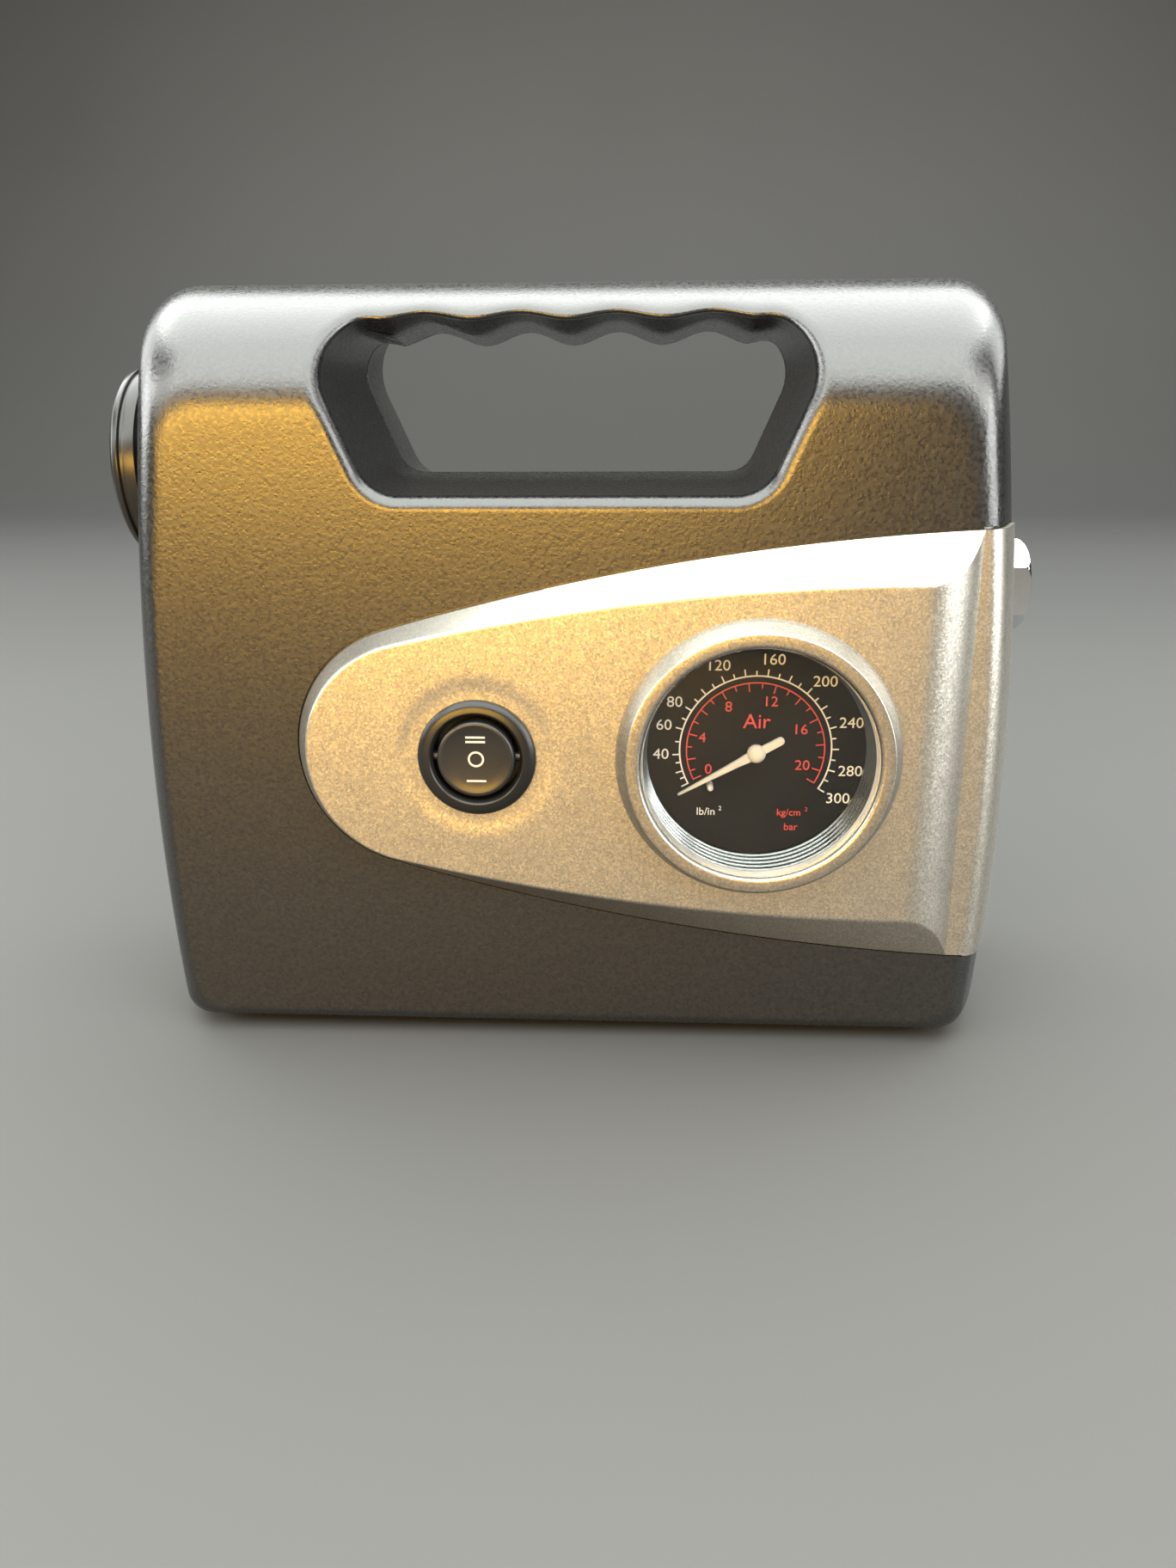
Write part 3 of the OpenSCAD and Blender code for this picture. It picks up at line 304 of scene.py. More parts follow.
# the ring is the panel's silver paint; its darker, warm colour is partly painted shade and a
# painted warm reflection
RING = paint("silver_ring_paint_with_painted_shade_and_sheen", (0.34, 0.325, 0.292), 0.36)
LENS_WALL = metal("lens_side_wall", (0.15, 0.155, 0.15), 0.17, scale=300)
LENS_EDGE = moulded("frosted_lens_edge", (0.17, 0.17, 0.16), 0.4, 2000, 0.00001, shine=0.3)

# every node that keeps its own solid gets its slot's finish
for node in frame["nodes"].values():
    for place in node.material_slots:
        place.material = FINISH[place.material.name.split(".")[0]]
for place in frame["nodes"]["rocker_pin"].material_slots:
    place.material = FINISH["switch"]


# ---- mesh helpers

def finished(name, mesh, body="housing", sharp=32):
    """Puts a mesh in the scene as a piece that rides on a body; a piece that has the name
    of a node takes its place."""
    mesh.name = name
    mesh.shade_smooth()
    mesh.set_sharp_from_angle(angle=radians(sharp))
    made = placed(name, mesh)
    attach(made, body)
    if name in frame["nodes"]:
        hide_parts(name)


def tidy(mesh):
    """Merges doubles, drops empty faces and turns all faces outwards."""
    work = bmesh.new()
    work.from_mesh(mesh)
    bmesh.ops.remove_doubles(work, verts=work.verts, dist=TOUCH)
    bmesh.ops.dissolve_degenerate(work, edges=work.edges, dist=TOUCH)
    loose = [e for e in work.edges if not e.link_faces]
    bmesh.ops.delete(work, geom=loose, context="EDGES")
    bmesh.ops.recalc_face_normals(work, faces=work.faces)
    work.to_mesh(mesh)
    work.free()
    return mesh


def from_mm(points, faces, finish=FINISH["case"]):
    """A closed mesh in metres out of points in millimetres."""
    mesh = bpy.data.meshes.new("work")
    mesh.from_pydata((np.asarray(points, float) * MM).tolist(), [], faces)
    mesh.materials.append(finish)
    return tidy(mesh)


def closed_grid(grid):
    """Points and faces of a grid (rows, columns, 3) that closes on itself both ways."""
    count, width = grid.shape[:2]
    faces = []
    for r in range(count):
        for c in range(width):
            s, d = (r + 1) % count, (c + 1) % width
            faces.append((r * width + c, r * width + d, s * width + d, s * width + c))
    return grid.reshape(-1, 3), faces


def joined(meshes):
    """One mesh out of several, with their materials."""
    work = bmesh.new()
    mats = []
    for mesh in meshes:
        start = len(work.faces)
        work.from_mesh(mesh)
        work.faces.ensure_lookup_table()
        mats += [mat for mat in mesh.materials if mat not in mats]
        for face in work.faces[start:]:
            face.material_index = mats.index(mesh.materials[face.material_index])
    made = bpy.data.meshes.new("work")
    work.to_mesh(made)
    work.free()
    for mat in mats:
        made.materials.append(mat)
    return made


def cut(mesh, cutter):
    """A new mesh: the first with the second taken out of it."""
    work, tool = placed("work", mesh), placed("tool", cutter)
    step = work.modifiers.new("cut", "BOOLEAN")
    step.object = tool
    step.operation = "DIFFERENCE"
    step.solver = "EXACT"
    made = plain_mesh(work)
    bpy.data.objects.remove(tool)
    return made


# ---- Geometry Nodes

class Tree(Nodes):
    """A Geometry Nodes tree with named inputs, and a way to bake it to a plain mesh."""

    def __init__(self, name, **inputs):
        self.tree = bpy.data.node_groups.new(name, "GeometryNodeTree")
        face = self.tree.interface
        for key, kind in {"Geometry": "Geometry", **inputs, "Finish": "Material"}.items():
            face.new_socket(key, in_out="INPUT", socket_type="NodeSocket" + kind)
        face.new_socket("Geometry", in_out="OUTPUT", socket_type="NodeSocketGeometry")
        self.ids = {s.name: s.identifier for s in face.items_tree if s.in_out == "INPUT"}
        self.given = self.node("NodeGroupInput").outputs

    def math(self, operation, a, b=0.0):
        return self.first("ShaderNodeMath", {0: a, 1: b}, operation=operation)

    def close(self, geometry):
        whole = self.first("GeometryNodeRealizeInstances", {"Geometry": geometry})
        self.node("NodeGroupOutput", {0: self.first("GeometryNodeSetMaterial", {
            "Geometry": whole, "Material": self.given["Finish"]})})
        return self

    def bake(self, mesh, **inputs):
        made = placed("work", mesh)
        step = made.modifiers.new("shape", "NODES")
        step.node_group = self.tree
        for key, value in inputs.items():
            step[self.ids[key]] = value
        return plain_mesh(made)


def turned_tree():
    """Turns a closed profile round the Z axis: the profile is swept round a circle."""
    t = Tree("turned_piece", Segments="Int", Middle="Float")
    profile = t.first("GeometryNodeMeshToCurve", {"Mesh": t.given["Geometry"]})
    ring = t.first("GeometryNodeCurvePrimitiveCircle", {
        "Resolution": t.given["Segments"], "Radius": t.given["Middle"]})
    swept = t.first("GeometryNodeCurveToMesh", {"Curve": ring, "Profile Curve": profile})
    return t.close(t.first("GeometryNodeMergeByDistance", {"Geometry": swept, "Distance": TOUCH}))


def ticks_tree():
    """A bar for each incoming point, which holds (angle, length): the bar starts on the circle
    and reaches outwards, or inwards where the length is negative."""
    t = Tree("scale_ticks", Radius="Float", Width="Float", Thick="Float")
    g = t.given
    spots = t.first("GeometryNodeMeshToPoints", {"Mesh": g["Geometry"]})
    where = t.first("GeometryNodeInputPosition")
    angle, length, _ = t.node("ShaderNodeSeparateXYZ", {0: where}).outputs
    facing = t.first("ShaderNodeCombineXYZ", {2: angle})
    size = t.first("ShaderNodeCombineXYZ", {
        0: t.math("ABSOLUTE", length), 1: g["Width"], 2: g["Thick"]})
    bars = t.first("GeometryNodeInstanceOnPoints", {
        "Points": spots, "Instance": t.first("GeometryNodeMeshCube", {"Size": (1, 1, 1)}),
        "Rotation": facing, "Scale": size})
    middle = t.math("ADD", g["Radius"], t.math("MULTIPLY", length, 0.5))
    goal = t.first("ShaderNodeCombineXYZ", {
        0: t.math("MULTIPLY", middle, t.math("COSINE", angle)),
        1: t.math("MULTIPLY", middle, t.math("SINE", angle))})
    way = t.first("ShaderNodeVectorMath", {0: goal, 1: where}, operation="SUBTRACT")
    return t.close(t.first("GeometryNodeTranslateInstances", {
        "Instances": bars, "Translation": way, "Local Space": False}))


def copies_tree():
    """Copies of a piece on the points of the incoming mesh."""
    t = Tree("copies_on_points", Piece="Object")
    piece = t.node("GeometryNodeObjectInfo", {"Object": t.given["Piece"]}).outputs["Geometry"]
    spots = t.first("GeometryNodeMeshToPoints", {"Mesh": t.given["Geometry"]})
    return t.close(t.first("GeometryNodeInstanceOnPoints", {"Points": spots, "Instance": piece}))


TURNED, TICKS, COPIES = turned_tree(), ticks_tree(), copies_tree()
PLACE = {
    "y": lambda x, z: Matrix(((1, 0, 0, x), (0, 0, 1, 0), (0, -1, 0, z), (0, 0, 0, 1))),
    "x": lambda y, z: Matrix(((0, 0, 1, 0), (0, 1, 0, y), (-1, 0, 0, z), (0, 0, 0, 1))),
    "z": lambda x, y: Matrix(((1, 0, 0, x), (0, 1, 0, y), (0, 0, 1, 0), (0, 0, 0, 1))),
}


def rounded(profile, radii):
    """A closed profile with its corners rounded: radii is {corner: radius}."""
    out = []
    for i, p in enumerate(profile):
        r = radii.get(i, 0)
        if not r:
            out.append(p)
            continue
        a, p, b = (np.array(profile[j % len(profile)], float) for j in (i - 1, i, i + 1))
        u, v = (a - p) / np.linalg.norm(a - p), (b - p) / np.linalg.norm(b - p)
        half = acos(max(-1, min(1, float(u @ v)))) / 2
        run = min(r / tan(half), 0.45 * np.linalg.norm(a - p), 0.45 * np.linalg.norm(b - p))
        r = run * tan(half)
        middle = p + (u + v) / np.linalg.norm(u + v) * r / sin(half)
        s, e = p + u * run - middle, p + v * run - middle
        a0, a1 = atan2(s[1], s[0]), atan2(e[1], e[0])
        sweep = (a1 - a0 + pi) % (2 * pi) - pi
        steps = max(2, int(abs(sweep) / radians(14)))
        for k in range(steps + 1):
            angle = a0 + sweep * k / steps
            out.append((middle[0] + r * cos(angle), middle[1] + r * sin(angle)))
    return out


def turned(profile, at, finish=FINISH["case"], segments=128, radii=None):
    """A mesh turned from (radius, distance along the axis); at is the axis and its place."""
    points = rounded(profile, radii) if radii else profile
    middle = max(p[0] for p in points)
    line = bpy.data.meshes.new("profile")
    line.from_pydata([((r - middle) * MM, -h * MM, 0) for r, h in points],
                     [(i, (i + 1) % len(points)) for i in range(len(points))], [])
    mesh = TURNED.bake(line, Segments=segments, Middle=middle * MM, Finish=finish)
    axis, a, b = at
    mesh.transform(PLACE[axis](a * MM, b * MM))
    return tidy(mesh)


def piece(name, slot, profile, at, finish=None, sharp=32, **form):
    """A turned piece that is finished as it is, in its slot's finish unless another is given."""
    finished(name, turned(profile, at, finish or FINISH[slot], **form), sharp=sharp)


def rod(at, start, end, radius, segments=96, finish=FINISH["case"]):
    """A round cutter from start to end along the axis."""
    profile = [(0, start), (radius, start), (radius, end), (0, end)]
    return turned(profile, at, finish, segments)


def prism(outline, low, high, place, finish=FINISH["case"]):
    """A flat outline made solid; place maps (u, v, h) to x, y, z in millimetres."""
    count = len(outline)
    points = [place(u, v, h) for h in (low, high) for u, v in outline]
    faces = [tuple(range(count)), tuple(range(2 * count - 1, count - 1, -1))]
    faces += [(i, (i + 1) % count, (i + 1) % count + count, i + count) for i in range(count)]
    return from_mm(points, faces, finish)


def between(a, b, t):
    """The point at part t of the way from a to b."""
    return a[0] + (b[0] - a[0]) * t, a[1] + (b[1] - a[1]) * t


def oblong(wide, tall, v=0.0):
    """The corners of a rectangle of twice that size, with its middle at height v."""
    return [(-wide, v - tall), (wide, v - tall), (wide, v + tall), (-wide, v + tall)]


def flat(u, v, h):
    return u, v, h


def standing(u, v, h):
    return u, h, v


# ---- case form

def side_x(z):
    """x of the case's right side at height z, at the parting plane."""
    return SIDE_X - SIDE_R + np.sqrt(SIDE_R ** 2 - (z - SIDE_Z) ** 2)


def edge_in(y, grow):
    """How far the fillet at the front and back draws the outline in at depth y."""
    a = np.clip(EDGE - (HALF_DEPTH + grow - np.abs(y)), 0, EDGE)
    return EDGE - np.sqrt(EDGE ** 2 - a ** 2)


def ring_sizes(y, grow):
    """The numbers that give the case's outline at depth y."""
    y = np.asarray(y, float)
    edge = edge_in(y, grow)
    part = np.clip(np.abs(y) / (HALF_DEPTH + grow), 0, 1)
    shift = grow - edge - TAPER * part ** TAPER_POWER
    z0 = FOOT - grow + edge
    z1 = CROWN + (CROWN_RISE + grow) * np.sqrt(1 - part ** 2)
    r0, r1 = LOW_R + grow, TOP_R + grow
    low, mid = z0 + r0, z1 - r1
    slope = np.arcsin((mid - SIDE_Z) / SIDE_R)
    high = mid + r1 * np.sin(slope)
    return SimpleNamespace(
        shift=shift, z0=z0, z1=z1, r0=r0, r1=r1, slope=slope, low=low, high=high, mid=mid,
        low_x=side_x(low) + shift - r0, top_x=side_x(high) + shift - r1 * np.cos(slope))


FLOOR_STEPS, CORNER_STEPS, SIDE_STEPS, TOP_STEPS, CROWN_STEPS = 20, 7, 60, 12, 46
COLUMNS = FLOOR_STEPS + CORNER_STEPS + SIDE_STEPS + TOP_STEPS + CROWN_STEPS + 1
EYE = (0.5, 129.0)       # the columns fan out from here, inside the hand hole


def side_heights():
    """Heights down the side, as parts of its length, that look evenly spread from the eye."""
    s = ring_sizes(-28.0, 0)     # just behind the front's fillet
    z = np.linspace(float(s.low), float(s.high), 400)
    seen = np.arctan2(z - EYE[1], side_x(z) - EYE[0])
    wanted = np.linspace(seen[0], seen[-1], SIDE_STEPS + 1)
    return (np.interp(wanted, seen, z) - z[0]) / (z[-1] - z[0])


SIDE_PARTS = side_heights()


def ring(y, grow=0.0):
    """Half of the case's outline, from the floor's middle by the right to the crown's middle;
    y is one depth, or one for each column."""
    y = np.broadcast_to(np.asarray(y, float), (COLUMNS,))
    s = SimpleNamespace(**{key: np.broadcast_to(value, (COLUMNS,))
                           for key, value in vars(ring_sizes(y, grow)).items()})
    x, z = np.zeros(COLUMNS), np.zeros(COLUMNS)
    column = iter(range(COLUMNS))
    for k, i in zip(range(FLOOR_STEPS), column):
        x[i], z[i] = s.low_x[i] * (k / FLOOR_STEPS), s.z0[i]
    for k, i in zip(range(CORNER_STEPS), column):
        a = radians(-90 + 90 * k / CORNER_STEPS)
        x[i], z[i] = s.low_x[i] + s.r0[i] * cos(a), s.low[i] + s.r0[i] * sin(a)
    for k, i in zip(range(SIDE_STEPS), column):
        z[i] = s.low[i] + (s.high[i] - s.low[i]) * SIDE_PARTS[k]
        x[i] = side_x(z[i]) + s.shift[i]
    for k, i in zip(range(TOP_STEPS), column):
        a = s.slope[i] + (pi / 2 - s.slope[i]) * k / TOP_STEPS
        x[i], z[i] = s.top_x[i] + s.r1[i] * cos(a), s.mid[i] + s.r1[i] * sin(a)
    for k, i in zip(range(CROWN_STEPS + 1), column):
        x[i], z[i] = s.top_x[i] * (1 - k / CROWN_STEPS), s.z1[i]
    return x, z


def inside(x, z, y, grow=0.0):
    """True where (x, z) lies inside the outline at depth y."""
    s = ring_sizes(y, grow)
    down = np.clip(s.low - z, 0, s.r0)
    upper = np.clip(z - s.mid, 0, s.r1)
    reach = np.where(z < s.low, s.low_x + np.sqrt(s.r0 ** 2 - down ** 2),
                     np.where(z > s.high, s.top_x + np.sqrt(s.r1 ** 2 - upper ** 2),
                              side_x(z) + s.shift))
    return (z > s.z0) & (z < s.z1) & (np.abs(x) < reach)


def depth_at(x, z, grow=0.0):
    """How far forward the surface over (x, z) stands: the y of the front face or its curve."""
    near, far = np.zeros_like(x), np.full_like(x, HALF_DEPTH + grow)
    whole = inside(x, z, far, grow)
    for _ in range(40):
        half = (near + far) / 2
        ok = inside(x, z, half, grow)
        near, far = np.where(ok, half, near), np.where(ok, far, half)
    return -np.where(whole, HALF_DEPTH + grow, near)


def hole_dense(grow, depth):
    """The hand hole's outline as many points, with the finger scallops along its top."""
    h = HOLE
    lean, tilt = sqrt(1 + h.slant ** 2), atan(h.slant)
    c, s = cos(-tilt), sin(-tilt)
    rt, rb = h.r_top + grow, h.r_low + grow
    zt, zb = h.z1 + grow - rt, h.z0 - grow + rb
    xt = h.bottom + (zt - h.z0) * h.slant + (grow - rt) * lean
    xb = h.bottom + (zb - h.z0) * h.slant + (grow - rb) * lean
    a = np.linspace(-pi / 2, -tilt, 60)
    b = np.linspace(-tilt, pi / 2, 90)
    right = [(0.0, zb - rb)] + [(x, zb - rb) for x in np.linspace(1, xb, 40)]
    right += list(zip(xb + rb * np.cos(a), zb + rb * np.sin(a)))
    right += [(xb + rb * c + (xt + rt * c - xb - rb * c) * t,
               zb + rb * s + (zt + rt * s - zb - rb * s) * t) for t in np.linspace(0.02, 0.98, 40)]
    right += list(zip(xt + rt * np.cos(b), zt + rt * np.sin(b)))
    right += [(x, zt + rt) for x in np.linspace(xt, 0, 160)[1:]]
    out = np.array(right)
    fade = np.clip((h.reach - np.abs(out[:, 0])) / 6, 0, 1)
    drop = depth * (1 + np.cos(2 * pi * out[:, 0] / h.pitch)) / 2 * fade
    out[:, 1] -= np.where(out[:, 1] > zt, drop, 0)
    return out


def hole_ring(grow, depth, angles):
    """The hand hole's outline met by rays from the eye; angles run -90 to 90 on the right."""
    line = hole_dense(grow, depth)
    seen = np.arctan2(line[:, 1] - EYE[1], line[:, 0])
    far = np.hypot(line[:, 0], line[:, 1] - EYE[1])
    r = np.interp(angles, np.maximum.accumulate(seen), far)
    return EYE[0] + r * np.cos(angles), EYE[1] + r * np.sin(angles)


NECK = 2.5                   # the tunnel narrows by this much at the parting plane
GRIP, MOUTH_GRIP, RIM_GRIP = 2.5, 1.2, 0.8     # depth of the scallops: middle, mouth, face
BEND = -14                   # depth where the tunnel's wall changes its draft
CROWN_FRONT = 13.5           # the outer columns under the crown start at this depth
FADE = 20                    # and this many columns of the side lead over to them
SEAM, SEAM_STEP = 0.4, 0.06  # the parting line: a small groove at the outside
SPREAD = (0.004, 0.02, 0.06, 0.12, 0.2, 0.28, 0.36, 0.44, 0.52, 0.6, 0.68, 0.76, 0.84, 0.9,
          0.95, 0.98, 0.994)     # rows from the hole's rim to the edge of the face
BACKWARDS = (0.12, 0.18, 0.26, 0.36, 0.48, 0.6, 0.72, 0.84, 0.93)    # rows along the side
ROUND = [1 - sin(radians(a)) for a in range(90, -1, -10)]            # rows round an edge


def case_half(front):
    """One half of the case as a closed wall: tunnel, rim, face, side and inner skin."""
    corner = FLOOR_STEPS + CORNER_STEPS + SIDE_STEPS
    crown = np.clip((np.arange(COLUMNS) - corner + FADE) / (FADE + TOP_STEPS), 0, 1)
    crown = crown * crown * (3 - 2 * crown)
    y_start = -HALF_DEPTH + (HALF_DEPTH - CROWN_FRONT) * crown
    face = ring(y_start)

    def surface(z):
        """y of the front over height z, which the crown bends back."""
        high = np.clip((z - CROWN) / CROWN_RISE, 0, 1)
        return -HALF_DEPTH * np.sqrt(1 - high ** 2)

    def rows_of(side):
        """Rows of one side, 1 for the right and -1 for the left, which is mirrored later."""
        rows = []
        rays = np.arctan2(face[1] - EYE[1], face[0] - side * EYE[0])

        def row(y, place):
            x, z = place
            rows.append(np.stack([x, np.broadcast_to(y, x.shape), z], 1))

        def hole(grow, depth):
            x, z = hole_ring(grow, depth, rays)
            return x - EYE[0] + side * EYE[0], z

        mouth = surface(hole(0, MOUTH_GRIP)[1]) + HOLE.rim
        for y, inset in ((-0.0, 0.3), (-SEAM_STEP, 0.3), (-SEAM, 0)):
            row(y, hole(-NECK + inset, GRIP))
        for t in (0.12, 0.3, 0.5):
            row(BEND * t / 0.5, hole(-NECK + 1.25 * t / 0.5, GRIP - 0.25 * t / 0.5))
        for t in (0.3, 0.6, 0.8, 0.93):
            row(BEND + (mouth - BEND) * t, hole(-1.25 + 1.25 * t, 2.25 - 1.05 * t))
        for a in np.linspace(90, 0, 11):
            lean = radians(a)
            place = hole(HOLE.rim * (1 - sin(lean)), RIM_GRIP + 0.4 * sin(lean))
            row(surface(place[1]) + HOLE.rim * (1 - cos(lean)), place)
        rim = hole(HOLE.rim, RIM_GRIP)
        for t in SPREAD:
            place = between(rim, face, t)
            row(depth_at(*place), place)
        for w in (*[EDGE * step / HALF_DEPTH for step in ROUND], *BACKWARDS):
            row(y_start * (1 - w), ring(y_start * (1 - w)))
        for y, grow in ((-SEAM, 0), (-SEAM_STEP, -0.3), (0, -0.3)):
            row(y, ring(y, grow))
        core = hole(WALL, 0.5)
        back = np.maximum(-HALF_DEPTH + WALL, depth_at(*core, -WALL) + 0.5)
        for w in (0.0, 0.3, 0.6, 0.85, 1.0):
            row(back * w, ring(back * w, -WALL))
        row(back, core)
        row(0.0, hole(0.6, GRIP))
        return np.array(rows)

    right, left = rows_of(1), rows_of(-1)
    left[:, :, 0] *= -1
    grid = np.concatenate([right, left[:, -2:0:-1]], axis=1)
    if not front:
        grid[:, :, 1] *= -1
    return from_mm(*closed_grid(grid))


# ---- silver panel form

PLATEAU, SKIN, SIT = 5.4, 0.6, 1.3      # plateau over the skin, skin over the case, depth of seat
GAP = 0.5                # groove in the case round the panel
NOSE_X = -28.5
ROLL_X, ROLL_R = 67.3, 12.5
ROLL_END = ROLL_X + sqrt(ROLL_R ** 2 - (ROLL_R - PLATEAU) ** 2)
SIDE_END = -21.0
STEP = 0.03              # least distance between two rows at the roll
OUTLINE = (480, 101.3, 436.6)           # the upper arcs of the panel and its plateau:
UPPER_EDGE = (450, 68.3, 416.75)        # radius, x of the highest point, depth of the centre


def arc_height(x, radius, top, centre):
    return sqrt(radius ** 2 - (x - top) ** 2) - centre


def roll_height(x):
    """Height of the panel's front at x, which falls along the roll."""
    if x <= ROLL_X:
        return PLATEAU
    return max(0.0, PLATEAU - ROLL_R + sqrt(ROLL_R ** 2 - (x - ROLL_X) ** 2))


def smooth_min(a, b, k):
    """The smaller of two heights, blended where they differ by less than k."""
    h = max(k - abs(a - b), 0) / k
    return min(a, b) - h * h * k / 4


def dent(x, z, reach=15.6, slope=1.9, deep=0.22):
    """A shallow sink round the switch."""
    t = min(1, max(0, (reach - hypot(x - SWITCH_X, z - PANEL_Z)) / slope))
    return deep * t * t * (3 - 2 * t)


def panel_front(side, wide):
    """Stations of the panel's front; each is a row of (x, height, z) from the rim to the middle."""
    stations = []

    def station(u, v, c, roll):
        """u on the rim, v on the plateau's edge, c on the middle line, all as (x, half height)."""
        top = roll / PLATEAU
        q = min(0.42 / hypot(v[0] - u[0], v[1] - u[1]), top * 0.9)
        parts = [(top - q) * t for t in (0, 0.04, 0.2, 0.4, 0.6, 0.8, 0.96)]
        parts += [top + q * t for t in (-1, -0.66, -0.33, 0, 0.33, 0.66, 1, 1.5)]
        line = []
        for t in parts:
            edge = between(u, v, t)
            line.append((edge, smooth_min(PLATEAU * t, roll, max(PLATEAU * q, 1e-4))))
        line += [(between(edge, c, k / 18), roll) for k in range(1, 19)]
        stations.append([(x, h - dent(x, PANEL_Z + side * z) * (h > 5), PANEL_Z + side * z)
                         for (x, z), h in line])

    def nose(t, x, radius, sweep):
        a = radians(180 - sweep * t)
        return x + radius * cos(a), radius * sin(a)

    for k in range(26):
        t = k / 26
        station(nose(t, -28.6, 24.5 + wide, 73.4), nose(t, -28.3, 22.2, 76.95), (NOSE_X, 0),
                PLATEAU)
    for t in (*np.linspace(0, 1, 78), *(1 + np.linspace(0, 1, 31)[1:])):
        if t <= 1:       # from the end of the nose's arcs to the roll
            u, v, c = (x + (ROLL_X - x) * t for x in (-35.6, -33.31, NOSE_X))
        else:
            u = v = c = ROLL_X + (ROLL_END - ROLL_X) * (1 - (2 - t) ** 1.6)
        station((u, arc_height(u, *OUTLINE) + wide), (v, arc_height(v, *UPPER_EDGE)), (c, 0),
                roll_height(c))
    return stations


def case_side(y, z, grow):
    """x of the case's side at depth y and height z."""
    part = min(1, abs(y) / (HALF_DEPTH + grow))
    edge = float(edge_in(np.array(float(y)), grow))
    return float(side_x(z)) + grow - edge - TAPER * part ** TAPER_POWER


def panel_grid(depth, wide=0.0):
    """The panel's surface as a grid, lowered by depth; a full depth gives its flat back."""
    halves = []
    grow = SKIN - depth
    face = -HALF_DEPTH - grow
    for side in (1, -1):
        front = panel_front(side, wide)
        grid = [[(x, -HALF_DEPTH - SKIN + depth - (0 if depth >= SIT else h), z)
                 for x, h, z in line] for line in front]
        heights = [p[2] for p in front[-1]]
        limit = heights[0] - PANEL_Z
        parts = [(z - PANEL_Z) / limit for z in heights]
        least = ROLL_END
        for f in (0.3, 0.65, 1.0):
            least += STEP
            line = []
            for part in parts:
                z = PANEL_Z + limit * part
                x = ROLL_END + (case_side(face, z, grow) - ROLL_END) * f
                line.append((max(x, least), face, z))
            grid.append(line)
        for y in (*[face + EDGE * step for step in ROUND[1:]], -27.0, -25.5, -24.0, -22.5,
                  SIDE_END + wide):
            least += STEP
            corner = case_side(y, PANEL_Z + limit, grow)
            tall = side * (arc_height(corner, *OUTLINE) + wide)
            line = [PANEL_Z + tall * part for part in parts]
            grid.append([(max(case_side(y, z, grow), least), y, z) for z in line])
        halves.append(grid)
    return [a + b[-2::-1] for a, b in zip(*halves)]


def panel_solid(skin, foot, finish=FINISH["case"]):
    """A closed mesh between two panel grids."""
    count, width = len(skin), len(skin[0])
    points = [p for grid in (skin, foot) for line in grid for p in line]
    base = count * width
    faces = []
    for i in range(count - 1):
        for j in range(width - 1):
            a = i * width + j
            faces.append((a, a + 1, a + width + 1, a + width))
            faces.append((base + a, base + a + width, base + a + width + 1, base + a + 1))
    for i in range(count - 1):
        for j in (0, width - 1):
            a, b = i * width + j, (i + 1) * width + j
            faces.append((a, b, base + b, base + a))
    for j in range(width - 1):
        a = (count - 1) * width + j
        faces.append((a, a + 1, base + a + 1, base + a))
    return from_mm(points, faces, finish)


def healed(mesh):
    """Closes the pinholes that a cut can leave where it meets an edge of the mesh."""
    work = bmesh.new()
    work.from_mesh(mesh)
    gaps = [e for e in work.edges if e.is_boundary]
    bmesh.ops.holes_fill(work, edges=gaps, sides=8)
    work.to_mesh(mesh)
    work.free()
    return mesh


def case_piece(name, front, *sets):
    """Cuts each set of tools in turn, because tools that overlap need a cut each."""
    mesh = case_half(front)
    for tools in sets:
        mesh = cut(mesh, joined(tools))
    finished(name, healed(mesh), sharp=35)


def front_holes(gauge, switch, segments=96, finish=FINISH["case"]):
    """Cutters for the round holes of the gauge and the switch, by their radii."""
    return [rod(at, -40, -20, radius, count, finish)
            for at, radius, count in ((GAUGE, gauge, segments), (SWITCH, switch, 96))]


def side_cuts():
    """The lamp's and the outlet's recesses, a wide mouth and a narrower bore behind it."""
    return [turned([(0, a), (r, a), (r, b), (s, b), (s, c), (0, c)], at, segments=96)
            for at, a, r, b, s, c in ((LAMP, -110, 19.9, -86, 17.6, -60),
                                      (OUTLET, 105, 10.6, 88.5, 6.5, 70))]


def vent(x, low=16, high=38, r=1.1):
    """A slot with round ends, standing at x."""
    line = [(x + r * cos(a), z + r * sin(a)) for z, start in ((high - r, 0), (low + r, pi))
            for a in np.linspace(start, start + pi, 9)]
    return prism(line, 26, 36, standing)


pocket = panel_solid(panel_grid(-1.5, GAP), panel_grid(SIT + 0.05, GAP))
case_piece("front_shell", True, [pocket], side_cuts() + front_holes(24.8, 10.6))
case_piece("rear_shell", False, side_cuts() + [vent(-32 + 5 * i) for i in range(9)]
           + [rod(GLAND, 20, 40, 5, 64)]
           + [rod(("y", x, z), 8, 40, 3.8, 48) for x, z in SCREWS])

panel = panel_solid(panel_grid(0.0), panel_grid(SIT), FINISH["silver"])
holes = joined(front_holes(24.6, 10.2, 128, FINISH["silver"]))
finished("front_panel", cut(panel, holes), sharp=38)

# ---- pressure gauge

PRINT = 0.04             # half the thickness of print on the dial
DIAL_Y = -29.5           # front of the dial

